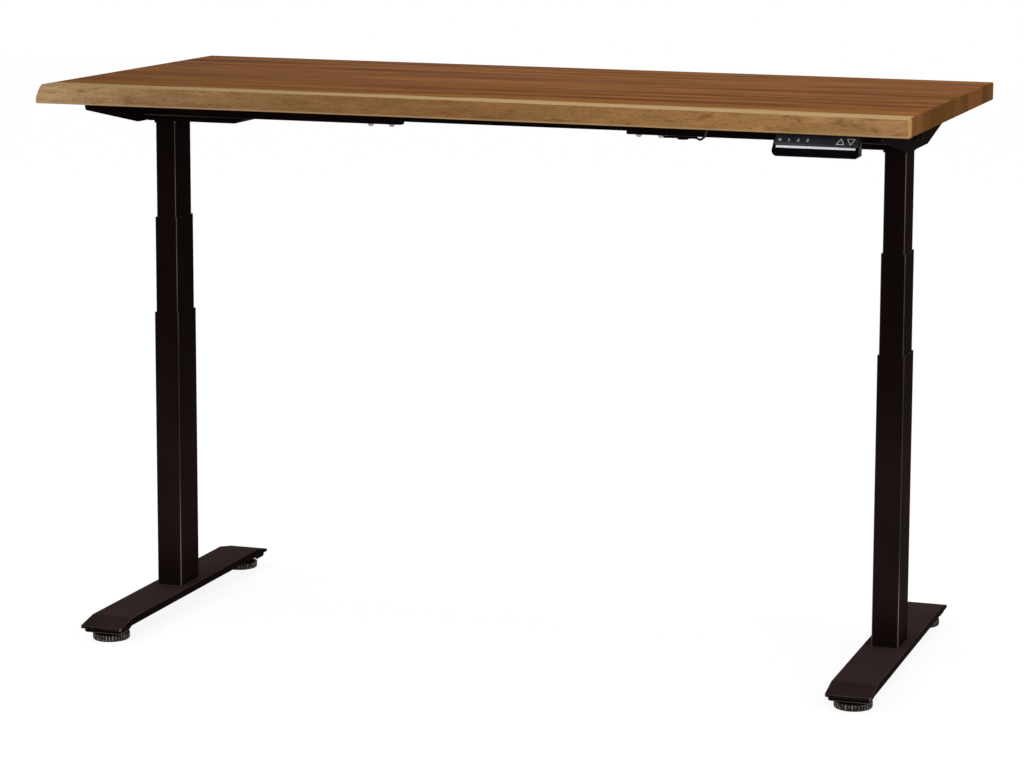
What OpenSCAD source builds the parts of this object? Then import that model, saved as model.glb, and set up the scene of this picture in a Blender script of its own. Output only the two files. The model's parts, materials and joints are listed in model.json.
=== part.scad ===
// Height-adjustable desk: a live-edge wooden top on two three-stage lifting columns.
// X runs along the desk, Y from its front to its back, Z up from the floor.

/* [Desktop] */
// Length of the desktop
top_l = 1600; // [1500:10:1900]
// Depth of the desktop
top_w = 765; // [720:5:900]
// Thickness of the desktop
top_t = 33; // [24:1:45]
// How far the front edge falls back at the left end
edge_skew = 36; // [20:2:50]
// How far the front edge bows inwards at mid length
edge_bow = 16; // [0:1:30]
// How far the lower edge stands proud at the left end
edge_wane = 20; // [0:1:20]

/* [Columns] */
// Distance from the middle of the desk to each column
col_x = 704; // [660:2:740]
// Width of the lower tube along the desk
lower_w = 50; // [49:1:54]
// Depth of the lower tube
lower_d = 80; // [79:1:84]
// Length of the lower tube
lower_len = 532; // [500:2:580]
// Width of the middle tube along the desk
middle_w = 45; // [44:0.5:45]
// Depth of the middle tube
middle_d = 75; // [74:0.5:75]
// Length of the middle tube
middle_len = 490; // [470:2:510]
// Width of the upper tube along the desk
upper_w = 40; // [39:0.5:40]
// Depth of the upper tube
upper_d = 70; // [69:0.5:70]
// Length of the upper tube
upper_len = 482; // [450:2:500]
// Wall of the three tubes
tube_wall = 1.5; // [1.2:0.1:1.5]
// Outer corner radius of the three tubes
tube_r = 3; // [2:0.5:5]
// Part of the middle tube that stands out at rest
middle_show = 183; // [175:1:200]
// Part of the upper tube that stands out at rest
upper_show = 185; // [177:1:200]

/* [Lift drive] */
// Diameter of the inner spindle
spindle_d = 12; // [10:0.5:13]
// Length of the inner spindle
spindle_len = 470; // [430:5:490]
// Outer diameter of the hollow screw
hollow_d = 20; // [18:0.5:21]
// Outer diameter of the pillar that carries the fixed nut
pillar_d = 28; // [26:0.5:29]
// Length of the pillar above the bottom plate
pillar_len = 392; // [360:2:400]
// Inner diameter of the carrier sleeve
sleeve_id = 30; // [30:0.1:30.5]
// Wall of the carrier sleeve
sleeve_wall = 1.5; // [1:0.1:1.6]
// Length of thread inside each nut
nut_len = 30; // [20:1:40]

/* [Feet] */
// Length of each foot
foot_l = 670; // [600:5:720]
// Width of each foot
foot_w = 82; // [82:1:96]
// Height of the foot's upper face above the floor
foot_h = 40; // [39:1:46]
// Thickness of the foot's sheet
foot_t = 3; // [2.5:0.5:4]
// Length of the sloping tip
tip_l = 52; // [48:1:60]
// Drop of the foot's upper face at the tip
tip_drop = 10; // [6:1:11]
// Depth of the foot's side flange
flange_h = 14; // [13:1:15]
// Diameter of each levelling glide
glide_d = 68; // [50:1:68]
// Height of the glide's knurled rim
glide_rim = 12.5; // [8:0.5:12.5]
// Distance from the foot's tip to the glide's middle
glide_in = 45; // [44:1:60]

/* [Frame] */
// Depth of the motor housing and its spacing below the desktop
frame_h = 57; // [57:1:64]
// Length of the motor housing along the desk
house_l = 206.5; // [195:0.5:225]
// Width of the motor housing
house_w = 90; // [88:1:96]
// Depth of the motor housing's tray
house_h = 45; // [44:0.5:45]
// Thickness of the frame's sheet steel
sheet_t = 2; // [1.5:0.5:2]
// Length of each side bracket
wing_l = 596; // [560:4:640]
// Thickness of the side bracket's sheet
wing_t = 2.5; // [2:0.5:3]
// Height of the outer rails
rail_h = 42.5; // [40:0.5:42.5]
// Width of the outer rails
rail_w = 20; // [18:0.5:24]
// Wall of the rails
rail_wall = 2; // [1.5:0.5:2]
// Half of the gap between the outer rails' ends
rail_gap = 217; // [160:1:240]
// Length of each centre rail
centre_l = 780; // [700:10:840]
// Height of each centre rail
centre_h = 34.5; // [28:0.5:35]

/* [Control box] */
// Length of the control box
box_l = 260; // [240:5:280]
// Width of the control box
box_w = 84; // [80:1:86]
// Depth of the control box
box_h = 36; // [34:1:37]
// Wall of the control box
box_wall = 2; // [1.5:0.5:2.5]

/* [Handset] */
// Distance from the desk's right end to the handset's middle
set_in = 159; // [159:1:240]
// Width of the handset
set_w = 148; // [147:1:160]
// Height of the handset
set_h = 38; // [38:0.5:40]
// Width of each arrow key
arrow_w = 15.4; // [12:0.2:15.6]
// Width of each numbered key
preset_w = 11; // [9:0.2:12]
// Distance between the numbered keys
preset_pitch = 15.8; // [14.5:0.1:16]
// Height of the keys above the panel
key_proud = 0.5; // [0.3:0.1:0.8]

/* [Cables and fasteners] */
// Diameter of the cables
cable_d = 4; // [3:0.5:4.5]
// Diameter of the frame bolts
bolt_d = 6; // [5:0.5:6]
// Diameter of the foot bolts
foot_bolt_d = 8; // [6:0.5:8]
// Diameter of the desktop screws
screw_d = 5; // [4:0.5:5]
// Length of thread that the desktop screws have in the wood
screw_bite = 16; // [12:1:20]

/* [Hidden] */
$fn = 48;
left = -1;
right = 1;
front = -1;
back = 1;

// Clearances
fit = 0.05;
slide = 0.1;
air = 0.3;

// Heights above the floor
lower_top = foot_h + lower_len;
middle_top = lower_top + middle_show;
head_z = middle_top + upper_show;
under_z = head_z + frame_h;
desk_h = under_z + top_t;
middle_z = middle_top - middle_len;
upper_z = head_z - upper_len;

// Shared places: the brackets' webs and flanges, the control box's ears, the handset
wing_x = 30.5;
flange_w = 40;
bracket_screw_in = [43, 148];
box_ear = 12;
set_x = top_l / 2 - set_in;
set_y = -382;
set_d = 60;
ear_d = 14;

// Colours
wood = [0.45, 0.27, 0.14];
paint = [0.14, 0.10, 0.09];
steel = [0.62, 0.62, 0.63];
zinc = [0.72, 0.72, 0.70];
black = [0.06, 0.06, 0.07];
nylon = [0.20, 0.20, 0.21];
gloss = [0.05, 0.06, 0.09];
silver = [0.80, 0.81, 0.83];

// Places a sub-part of one column: x = 0 is the column's middle and +x points outwards
module side(s) {
  if (s > 0) translate([col_x, 0, 0]) children();
  else mirror([1, 0, 0]) translate([col_x, 0, 0]) children();
}

// Extrudes an outline drawn in Y and Z along X, centred
module along_x(len) {
  rotate([90, 0, 90]) linear_extrude(len, center = true) children();
}

// Extrudes an outline drawn in X and Z along Y, centred
module along_y(len) {
  rotate([90, 0, 0]) linear_extrude(len, center = true) children();
}

module round_rect(w, d, r) {
  square([w - 2 * r, d], center = true);
  square([w, d - 2 * r], center = true);
  for (sx = [-1, 1], sy = [-1, 1])
    translate([sx * (w / 2 - r), sy * (d / 2 - r)]) circle(r);
}

module tube(w, d, wall, r, len) {
  linear_extrude(len) difference() {
    round_rect(w, d, r);
    round_rect(w - 2 * wall, d - 2 * wall, max(r - wall, 0.5));
  }
}

// Desktop: the front edge is a curve that falls back and bows in, square at the right
// end and waney at the left end
edge_steps = 24;
edge_rows = 7;
wane_turn = 105;

function edge_y(u, skew) = -top_w / 2 + skew * (1 - u) / 2 + edge_bow * (1 - u * u);
function wane_y(u, t) =
  let (a = edge_y(u, edge_skew), b = edge_y(u, edge_skew - edge_wane))
  a + (b - a) * sin(wane_turn * t);
function edge_ring(u) = concat(
  [[u * top_l / 2, top_w / 2, under_z], [u * top_l / 2, top_w / 2, desk_h]],
  [for (i = [0:edge_rows - 1]) let (t = i / (edge_rows - 1))
    [u * top_l / 2, wane_y(u, t), desk_h - t * top_t]]
);

bracket_screw_y = [for (s = [front, back], in = bracket_screw_in) s * (wing_l / 2 - in)];
bracket_screws = [for (s = [left, right], y = bracket_screw_y)
  [s * (col_x + wing_x - flange_w / 2), y]];
box_screws = [for (s = [left, right]) [s * (box_l + box_ear) / 2, 0]];
ear_y = set_y + set_d + ear_d / 2;
handset_screws = [for (s = [left, right]) [set_x + s * set_w / 3, ear_y]];
top_screws = concat(bracket_screws, box_screws, handset_screws);

module desktop() {
  ring = edge_rows + 2;
  points = [for (i = [0:edge_steps]) each edge_ring(2 * i / edge_steps - 1)];
  sides = [for (i = [0:edge_steps - 1], j = [0:ring - 1])
    let (a = i * ring + j, b = i * ring + (j + 1) % ring)
    [a, b, b + ring, a + ring]];
  ends = [[for (j = [ring - 1:-1:0]) j], [for (j = [0:ring - 1]) edge_steps * ring + j]];
  color(wood) difference() {
    polyhedron(points, concat(sides, ends), convexity = 4);
    for (p = top_screws)
      translate([p[0], p[1], under_z - 1]) cylinder(d = screw_d + 2 * fit, h = screw_bite + 2);
  }
}

module desktop_screws() {
  head_d = 9.5;
  head_h = 2.6;
  color(zinc) for (p = top_screws) translate([p[0], p[1], under_z - wing_t]) {
    cylinder(d = screw_d, h = wing_t + screw_bite);
    translate([0, 0, -head_h]) cylinder(d1 = head_d * 0.7, d2 = head_d, h = head_h);
  }
}

// Motor housing: a steel tray, welded to the upper tube's top
house_in = house_l - wing_x;
bevel_l = 29;
bevel_h = 13;
weld_nut_d = 12;
weld_nut_h = 4;
side_bolt_y = 25;
side_bolt_z = 22;
cable_hole_z = 30;
collar_h = 5;

module housing_outline(t) {
  polygon([
    [wing_x - t, t], [wing_x - t, house_h + 1], [-house_in + t, house_h + 1],
    [-house_in + t, bevel_h + t / 2], [-house_in + bevel_l + t / 2, t]
  ]);
}

module motor_housing(s) {
  color(paint) side(s) translate([0, 0, head_z]) difference() {
    union() {
      difference() {
        along_y(house_w) housing_outline(0);
        along_y(house_w - 2 * sheet_t) housing_outline(sheet_t);
        translate([-house_l, -house_w, house_h]) cube([2 * house_l, 2 * house_w, 5]);
      }
      for (y = [-side_bolt_y, side_bolt_y])
        translate([wing_x - sheet_t - weld_nut_h, y, side_bolt_z]) rotate([0, 90, 0])
          cylinder(d = weld_nut_d, h = weld_nut_h + sheet_t / 2);
      translate([0, 0, -collar_h]) linear_extrude(collar_h)
        round_rect(upper_w + 6, upper_d + 6, tube_r + 3);
    }
    translate([0, 0, -collar_h - 1]) linear_extrude(collar_h + 1)
      round_rect(upper_w + 2 * slide, upper_d + 2 * slide, tube_r + slide);
    translate([0, 0, -1]) cylinder(d = spindle_d + 2, h = sheet_t + 2);
    for (y = [-side_bolt_y, side_bolt_y])
      translate([0, y, side_bolt_z]) rotate([0, 90, 0])
        cylinder(d = bolt_d + 2 * fit, h = 2 * wing_x);
    translate([-house_in - 1, 0, cable_hole_z]) rotate([0, 90, 0])
      cylinder(d = cable_d + 2 * fit, h = sheet_t + 2);
  }
}

module housing_cover(s) {
  lip = 3;
  color(paint) side(s) translate([0, 0, head_z + house_h]) {
    translate([-house_in, -house_w / 2, 0]) cube([house_l, house_w, sheet_t]);
    difference() {
      translate([-house_in + sheet_t + air, -house_w / 2 + sheet_t + air, -lip])
        cube([house_l - 2 * sheet_t - 2 * air, house_w - 2 * sheet_t - 2 * air, lip + 1]);
      translate([-house_in + 2 * sheet_t, -house_w / 2 + 2 * sheet_t, -lip - 1])
        cube([house_l - 4 * sheet_t, house_w - 4 * sheet_t, lip + 1]);
    }
  }
}

gear_half = 24;
gear_w = 66;
gear_h = 38;
gear_r = 8;
gear_cap_d = 34;
gear_cap_h = 1.5;
spindle_seat = 28;
motor_d = 40;
motor_l = 112;
motor_z = sheet_t + 1 + motor_d / 2;

module gearbox(s) {
  color([0.35, 0.35, 0.36]) side(s) translate([0, 0, head_z + sheet_t]) difference() {
    union() {
      linear_extrude(gear_h) round_rect(2 * gear_half, gear_w, gear_r);
      translate([0, 0, gear_h - 1]) cylinder(d = gear_cap_d, h = gear_cap_h + 1);
    }
    translate([0, 0, -1]) cylinder(d = spindle_d + 2 * fit, h = spindle_seat + 1);
  }
}

module motor(s) {
  end_cap = 5;
  neck = 5;
  color([0.28, 0.28, 0.30]) side(s) translate([-gear_half, 0, head_z + motor_z])
    rotate([0, -90, 0]) {
      cylinder(d = motor_d - 6, h = neck + 1);
      translate([0, 0, neck]) cylinder(d = motor_d, h = motor_l - neck);
      translate([0, 0, motor_l - 1]) cylinder(d = motor_d * 0.8, h = end_cap + 1);
    }
}

// Side bracket: a deep web at the column and a thin tip at each end
wing_drop = frame_h - 1;
wing_flat = 170;
wing_tip = 17;

module side_bracket(s) {
  tip_y = wing_l / 2 - wing_tip / 2;
  color(paint) side(s) translate([0, 0, under_z]) difference() {
    union() {
      translate([wing_x + wing_t / 2, 0, 0]) along_x(wing_t) {
        polygon([
          [-tip_y, 0], [-tip_y, -wing_tip], [-wing_flat / 2, -wing_drop],
          [wing_flat / 2, -wing_drop], [tip_y, -wing_tip], [tip_y, 0]
        ]);
        for (y = [-tip_y, tip_y]) {
          translate([y, -wing_tip / 2]) circle(d = wing_tip);
          translate([y - wing_tip / 2, -wing_tip / 2]) square([wing_tip, wing_tip / 2]);
        }
      }
      translate([wing_x - flange_w, -tip_y, -wing_t]) cube([flange_w + 1, 2 * tip_y, wing_t]);
    }
    for (y = bracket_screw_y) translate([wing_x - flange_w / 2, y, -10])
      cylinder(d = screw_d + 2 * fit, h = 20);
    for (y = [-side_bolt_y, side_bolt_y])
      translate([0, y, side_bolt_z - frame_h]) rotate([0, 90, 0])
        cylinder(d = bolt_d + 2 * fit, h = 2 * wing_x);
  }
}

// Rails: an outer rail from each bracket, and a centre rail that telescopes in both
rail_y = house_w / 2 + rail_w / 2;
rail_z = under_z - wing_t - rail_h;
rail_l = col_x + wing_x - rail_gap;
clamp_x = [20.5, 62];
centre_top = rail_z + rail_h - rail_wall;

module outer_rail(s, f) {
  color(paint) side(s) difference() {
    translate([wing_x - rail_l / 2, f * rail_y, rail_z + rail_h / 2])
      along_x(rail_l) difference() {
        round_rect(rail_w, rail_h, 2);
        round_rect(rail_w - 2 * rail_wall, rail_h - 2 * rail_wall, 0.5);
      }
    for (x = clamp_x) translate([rail_gap - col_x + x, f * rail_y, rail_z - 1])
      cylinder(d = bolt_d + 2 * fit, h = rail_wall + 2);
  }
}

module centre_rail(f) {
  w = rail_w - 2 * rail_wall - 2 * air;
  color(paint) translate([0, f * rail_y, centre_top - centre_h / 2])
    along_x(centre_l) difference() {
      round_rect(w, centre_h, 1.5);
      round_rect(w - 2 * rail_wall, centre_h - 2 * rail_wall, 0.5);
    }
}

// A button-head bolt: the head's underside is at z = 0 and the shank points up
module button_bolt(d, len) {
  head_d = 1.75 * d;
  head_h = 0.85 * d;
  cylinder(d = d, h = len);
  difference() {
    intersection() {
      translate([0, 0, -head_h]) cylinder(d = head_d, h = head_h);
      translate([0, 0, head_d / 2 - head_h]) sphere(d = 1.12 * head_d);
    }
    translate([0, 0, -head_h - 1]) cylinder(d = 0.6 * d, h = 1 + head_h / 2, $fn = 6);
  }
}

module frame_bolts() {
  rail_grip = centre_top - centre_h - rail_z;
  side_grip = wing_t + sheet_t + weld_nut_h;
  color(zinc) {
    for (s = [left, right], f = [front, back], x = clamp_x)
      translate([s * (rail_gap + x), f * rail_y, rail_z]) button_bolt(bolt_d, rail_grip);
    for (s = [left, right], y = [-side_bolt_y, side_bolt_y])
      side(s) translate([wing_x + wing_t, y, head_z + side_bolt_z]) rotate([0, -90, 0])
        button_bolt(bolt_d, side_grip);
  }
}

// Columns
module upper_tube(s) {
  color(paint) side(s) translate([0, 0, upper_z])
    tube(upper_w, upper_d, tube_wall, tube_r, upper_len);
}

module middle_tube(s) {
  color(paint) side(s) translate([0, 0, middle_z])
    tube(middle_w, middle_d, tube_wall, tube_r, middle_len);
}

foot_plate_t = 8;
foot_bolt_x = 15;
foot_bolt_y = 28;

module foot_bolt_places() {
  for (x = [-foot_bolt_x, foot_bolt_x], y = [-foot_bolt_y, foot_bolt_y])
    translate([x, y, 0]) children();
}

module lower_tube(s) {
  color(paint) side(s) translate([0, 0, foot_h]) {
    tube(lower_w, lower_d, tube_wall, tube_r, lower_len);
    difference() {
      linear_extrude(foot_plate_t)
        round_rect(lower_w - tube_wall, lower_d - tube_wall, tube_r - tube_wall / 2);
      foot_bolt_places() translate([0, 0, -1])
        cylinder(d = foot_bolt_d + 2 * fit, h = foot_plate_t + 2);
    }
  }
}

// Guide: a thin plastic frame in the mouth of a tube, in which the next tube slides
guide_h = 60;

module guide(outer_w, outer_d, inner_w, inner_d) {
  linear_extrude(guide_h) difference() {
    round_rect(outer_w - 2 * tube_wall - 2 * fit, outer_d - 2 * tube_wall - 2 * fit,
      max(tube_r - tube_wall, 0.5));
    round_rect(inner_w + 2 * slide, inner_d + 2 * slide, tube_r);
  }
}

module lower_guide(s) {
  color(nylon) side(s) translate([0, 0, lower_top - guide_h])
    guide(lower_w, lower_d, middle_w, middle_d);
}

module middle_guide(s) {
  color(nylon) side(s) translate([0, 0, middle_top - guide_h])
    guide(middle_w, middle_d, upper_w, upper_d);
}

// Lift drive: the spindle turns in the hollow screw, which turns in the pillar's nut
sleeve_drop = 15;
slider_t = 5;
cap_t = 5;
lip_t = 4;
sleeve_top = middle_top - sleeve_drop;
screw_top = sleeve_top - cap_t - air;
screw_flange_t = 6;
screw_flange_d = sleeve_id - 3;
collar_t = 6;
pillar_z = foot_h + foot_plate_t;
pillar_flange_t = 6;
pillar_flange_d = 36;

module spindle(s) {
  top_z = head_z + sheet_t + spindle_seat - 0.5;
  color(steel) side(s) {
    translate([0, 0, top_z - spindle_len]) cylinder(d = spindle_d, h = spindle_len);
    translate([0, 0, head_z - air - collar_t]) cylinder(d = spindle_d + 8, h = collar_t);
  }
}

module hollow_screw(s) {
  screw_z = middle_z + 3;
  color(steel) side(s) difference() {
    union() {
      translate([0, 0, screw_z]) cylinder(d = hollow_d, h = screw_top - screw_z);
      translate([0, 0, screw_top - screw_flange_t])
        cylinder(d = screw_flange_d, h = screw_flange_t);
    }
    translate([0, 0, screw_z - 1]) cylinder(d = spindle_d + 2, h = screw_top - nut_len - screw_z + 1);
    translate([0, 0, screw_z]) cylinder(d = spindle_d + 2 * fit, h = screw_top - screw_z + 1);
  }
}

module carrier(s) {
  lip_top = screw_top - screw_flange_t - air;
  sleeve_od = sleeve_id + 2 * sleeve_wall;
  color(nylon) side(s) difference() {
    union() {
      translate([0, 0, middle_z - slider_t]) {
        linear_extrude(slider_t)
          round_rect(lower_w - 2 * tube_wall - 2 * slide, lower_d - 2 * tube_wall - 2 * slide,
            max(tube_r - tube_wall, 0.5));
        cylinder(d = sleeve_od, h = sleeve_top - middle_z + slider_t);
      }
    }
    translate([0, 0, middle_z - slider_t - 1])
      cylinder(d = sleeve_id, h = lip_top - lip_t - middle_z + slider_t + 1);
    translate([0, 0, middle_z]) cylinder(d = hollow_d + 1, h = lip_top - middle_z + 1);
    translate([0, 0, lip_top]) cylinder(d = sleeve_id, h = sleeve_top - cap_t - lip_top);
    translate([0, 0, middle_z]) cylinder(d = spindle_d + 2, h = middle_len);
  }
}

module nut_pillar(s) {
  color(steel) side(s) translate([0, 0, pillar_z]) difference() {
    union() {
      cylinder(d = pillar_flange_d, h = pillar_flange_t);
      cylinder(d = pillar_d, h = pillar_len);
    }
    translate([0, 0, -1]) cylinder(d = hollow_d + 2, h = pillar_len - nut_len + 1);
    translate([0, 0, -1]) cylinder(d = hollow_d + 2 * fit, h = pillar_len + 2);
  }
}

// Feet: a pressed channel with sloping tips, a short apron behind each tip and a boss
// for each glide's stud
apron_in = 11;
apron_half = 37;
apron_t = 2.5;
apron_z = 14;
apron_l = 52;
apron_low = [5, 24];
apron_r = 8;
foot_corner = 5;
boss_d = 16;
boss_z = 27;
stud_d = 8;
foot_front = -foot_l / 2;
tip_z = foot_h - tip_drop;

function slope_z(y) = tip_z + tip_drop * min(1, (y - foot_front) / tip_l);

module foot_outline(t, low) {
  polygon([
    [foot_front + t, low], [foot_front + t, tip_z - t], [foot_front + tip_l, foot_h - t],
    [-foot_front - tip_l, foot_h - t], [-foot_front - t, tip_z - t], [-foot_front - t, low]
  ]);
}

module apron() {
  y0 = foot_front + apron_in;
  difference() {
    intersection() {
      along_x(2 * apron_half) polygon([
        [y0, slope_z(y0) - 1], [foot_front + tip_l, foot_h - 1], [y0 + apron_l, foot_h - 1],
        [y0 + apron_l, foot_h - flange_h + 1.5], [y0 + apron_low[1], apron_z],
        [y0 + apron_low[0], apron_z], [y0, apron_z + 4]
      ]);
      translate([0, 0, foot_h]) along_y(foot_l)
        round_rect(2 * apron_half, 2 * (foot_h - apron_z), apron_r);
    }
    along_x(2 * (apron_half - apron_t)) polygon([
      [y0 + apron_t, 0], [y0 + apron_t, slope_z(y0 + apron_t) - foot_t],
      [foot_front + tip_l, foot_h - foot_t], [y0 + apron_l + 8, foot_h - foot_t],
      [y0 + apron_l + 8, 0]
    ]);
  }
}

module foot(s) {
  glide_y = foot_l / 2 - glide_in;
  color(paint) side(s) difference() {
    union() {
      difference() {
        intersection() {
          along_x(foot_w) foot_outline(0, foot_h - flange_h);
          linear_extrude(foot_h + 1) round_rect(foot_w, foot_l, foot_corner);
        }
        along_x(foot_w - 2 * foot_t) foot_outline(foot_t, 0);
      }
      apron();
      mirror([0, 1, 0]) apron();
      for (y = [-glide_y, glide_y]) translate([0, y, boss_z])
        cylinder(d = boss_d, h = slope_z(-glide_y - boss_d / 2) - 0.5 - boss_z);
    }
    for (y = [-glide_y, glide_y]) translate([0, y, 0])
      cylinder(d = stud_d + 2 * fit, h = slope_z(-glide_y) - foot_t);
    foot_bolt_places() cylinder(d = foot_bolt_d + 2 * fit, h = foot_h + 1);
  }
}

module foot_bolts() {
  color(zinc) for (s = [left, right]) side(s) foot_bolt_places()
    translate([0, 0, foot_h - foot_t]) button_bolt(foot_bolt_d, foot_t + foot_plate_t - 0.5);
}

// Levelling glide: a fluted rim, a dome and a threaded stud
module glide(s, f) {
  flutes = 30;
  flute_d = 3.2;
  dome_h = 8.5;
  glide_y = foot_l / 2 - glide_in;
  stud_top = slope_z(-glide_y) - foot_t - 0.5;
  color(black) side(s) translate([0, f * glide_y, 0]) {
    difference() {
      cylinder(d = glide_d, h = glide_rim);
      for (i = [0:flutes - 1]) rotate(i * 360 / flutes)
        translate([glide_d / 2 + flute_d * 0.2, 0, 1.5]) cylinder(d = flute_d, h = glide_rim);
    }
    translate([0, 0, glide_rim - 0.5])
      cylinder(d1 = glide_d - 10, d2 = 24, h = dome_h + 0.5);
    translate([0, 0, glide_rim]) cylinder(d = boss_d, h = boss_z - air - glide_rim);
    translate([0, 0, glide_rim]) cylinder(d = stud_d, h = stud_top - glide_rim);
  }
}

// Control box, between the rails under the middle of the desktop
box_z = under_z - box_h;
post_h = 8;
post_d = 7;
snap_h = 3;
board_t = 1.6;
board_l = 218;
board_x = 9;
inlet_y = -14;
inlet_z = 14;
inlet_w = 27;
inlet_h = 20;
inlet_deep = 22;
port_y = 24;
port_z = 15;

module control_box_base() {
  color(black) difference() {
    union() {
      translate([0, 0, under_z - wing_t]) {
        linear_extrude(wing_t) round_rect(box_l, box_w, 4);
        linear_extrude(wing_t) round_rect(box_l + 2 * box_ear, 24, 4);
        translate([0, 0, -snap_h]) linear_extrude(snap_h + 1) difference() {
          round_rect(box_l - 2 * box_wall - 2 * slide, box_w - 2 * box_wall - 2 * slide, 2);
          round_rect(box_l - 4 * box_wall - 2 * slide, box_w - 4 * box_wall - 2 * slide, 1);
        }
      }
      for (x = [-1, 1], y = [-1, 1])
        translate([board_x + x * (board_l / 2 - 8), y * (box_w / 2 - 12), under_z - wing_t - post_h])
          cylinder(d = post_d, h = post_h + 1);
    }
    for (p = box_screws) translate([p[0], p[1], under_z - 10])
      cylinder(d = screw_d + 2 * fit, h = 20);
  }
}

module control_box_cover() {
  depth = box_h - wing_t;
  color(black) translate([0, 0, box_z]) difference() {
    linear_extrude(depth) round_rect(box_l, box_w, 4);
    translate([0, 0, box_wall]) linear_extrude(depth)
      round_rect(box_l - 2 * box_wall, box_w - 2 * box_wall, 4 - box_wall);
    translate([-box_l / 2, inlet_y, inlet_z])
      cube([4 * box_wall, inlet_w + 2 * air, inlet_h + 2 * air], center = true);
    translate([-box_l / 2 - 1, port_y, port_z]) rotate([0, 90, 0])
      cylinder(d = cable_d + 2 * fit, h = box_l + 2);
    translate([0, -port_y, port_z]) rotate([0, 90, 0])
      cylinder(d = cable_d + 2 * fit, h = box_l);
  }
}

module control_board() {
  top = under_z - wing_t - post_h;
  coil = [42, 36, 13];
  sink = [60, 5, 10];
  socket = [15, 20, 9];
  can_d = 16;
  can_h = 13;
  color([0.05, 0.30, 0.15]) translate([board_x, 0, top - board_t]) {
    translate([-board_l / 2, -box_w / 2 + 6, 0]) cube([board_l, box_w - 12, board_t]);
    translate([-70, -coil[1] / 2, -coil[2]]) cube([coil[0], coil[1], coil[2] + 1]);
    translate([-20, -28, -sink[2]]) cube([sink[0], sink[1], sink[2] + 1]);
    for (x = [-8, 14, 36]) translate([x, 8, -can_h]) cylinder(d = can_d, h = can_h + 1);
    for (x = [62, 84])
      translate([x, -socket[1] / 2, -socket[2]]) cube([socket[0], socket[1], socket[2] + 1]);
  }
}

module mains_inlet() {
  lip = 2;
  color(black) translate([-box_l / 2, inlet_y, box_z + inlet_z]) {
    difference() {
      union() {
        translate([-lip, -inlet_w / 2 - 3, -inlet_h / 2 - 2]) cube([lip, inlet_w + 6, inlet_h + 4]);
        translate([-lip, -inlet_w / 2, -inlet_h / 2]) cube([inlet_deep + lip, inlet_w, inlet_h]);
      }
      translate([-lip - 1, -inlet_w / 2 + 2, -inlet_h / 2 + 2])
        cube([inlet_deep - 1, inlet_w - 4, inlet_h - 4]);
    }
    for (p = [[-7, -2], [0, 2], [7, -2]])
      translate([3, p[0] - 1, p[1] - 2]) cube([inlet_deep - 4, 2, 4]);
  }
}

// Handset: the panel slopes at 45 degrees, with the keys set in it, over a rounded lip
lip_r = 7;
set_wall = 2;
set_corner = 11;
set_taper = 8;
set_hole_z = 20;
slope_run = 26;
slope_in = 6.5;
panel_l = 25.5;
panel_t = 1.6;
panel_gap = 0.15;
panel_in = 2;
ledge = 1.5;
trim_in = 6;
trim_w = 5;
trim_t = 1.2;
key_row = 12;
arrow_h = 14.4;
preset_h = 9;
arrow_x = [40.3, 57.6];
preset_x0 = -63.5;
key_r = 2;
key_flange = 0.6;
key_deep = 3.4;

// The panel's own frame: x along the desk, y up the slope, z out of the panel
module on_panel() {
  translate([set_x, set_y + slope_in, under_z - slope_run + slope_in]) rotate([45, 0, 0])
    children();
}

module set_outline(t) {
  low = under_z - set_h;
  heel = 12;
  heel_z = 15;
  lip = [for (a = [180:15:270])
    [set_y + lip_r + (lip_r - t) * cos(a), low + lip_r + (lip_r - t) * sin(a)]];
  polygon(concat(
    [[set_y + set_d - t, under_z - t], [set_y + slope_run + t, under_z - t],
      [set_y + t, under_z - slope_run - t]],
    lip,
    [[set_y + set_d - heel, low + 3 + t], [set_y + set_d - t, low + heel_z + t]]
  ));
}

// The case from above, which narrows behind the panel
module set_plan() {
  w = set_w / 2;
  polygon([
    [-w, -1], [w, -1], [w, slope_run], [w - set_taper, set_d + 1],
    [-w + set_taper, set_d + 1], [-w, slope_run]
  ]);
}

module handset_case() {
  cavity_w = set_w - 2 * set_taper - 2 * set_wall;
  color(black) difference() {
    union() {
      intersection() {
        translate([set_x, 0, 0]) along_x(set_w) set_outline(0);
        translate([set_x, set_y, under_z]) along_y(4 * set_d)
          round_rect(set_w, 2 * set_h + 2, set_corner);
        translate([set_x, set_y, 0]) linear_extrude(desk_h) set_plan();
      }
      for (p = handset_screws) translate([p[0] - ear_d / 2, set_y + set_d - 1, under_z - wing_t])
        cube([ear_d, ear_d + 1, wing_t]);
    }
    translate([set_x, 0, 0]) along_x(cavity_w) set_outline(set_wall + panel_t);
    on_panel() {
      translate([-set_w / 2 + panel_in - panel_gap, 1 - panel_gap, -panel_t])
        cube([set_w - 2 * panel_in + 2 * panel_gap, panel_l + 2 * panel_gap, 20]);
      translate([-set_w / 2 + panel_in + ledge, 1 + ledge, -panel_t - 8])
        cube([set_w - 2 * panel_in - 2 * ledge, panel_l - 2 * ledge, 20]);
      translate([-set_w / 2 + trim_in - fit, -trim_w - fit, -trim_t])
        cube([set_w - 2 * trim_in + 2 * fit, trim_w + 2 * fit, 20]);
    }
    for (p = handset_screws) translate([p[0], p[1], under_z - 10])
      cylinder(d = screw_d + 2 * fit, h = 20);
    translate([set_x, set_y + set_d + 1, under_z - set_hole_z]) rotate([90, 0, 0])
      cylinder(d = cable_d + 2 * fit, h = 12);
  }
}

// A key's outline, grown by g on every side
module key_shape(w, h, g) {
  round_rect(w + 2 * g, h + 2 * g, key_r + g);
}

module key_places() {
  for (x = arrow_x) translate([x, key_row, 0]) key_shape(arrow_w, arrow_h, air);
  for (i = [0:3]) translate([preset_x0 + i * preset_pitch, key_row, 0])
    key_shape(preset_w, preset_h, air);
}

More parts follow.
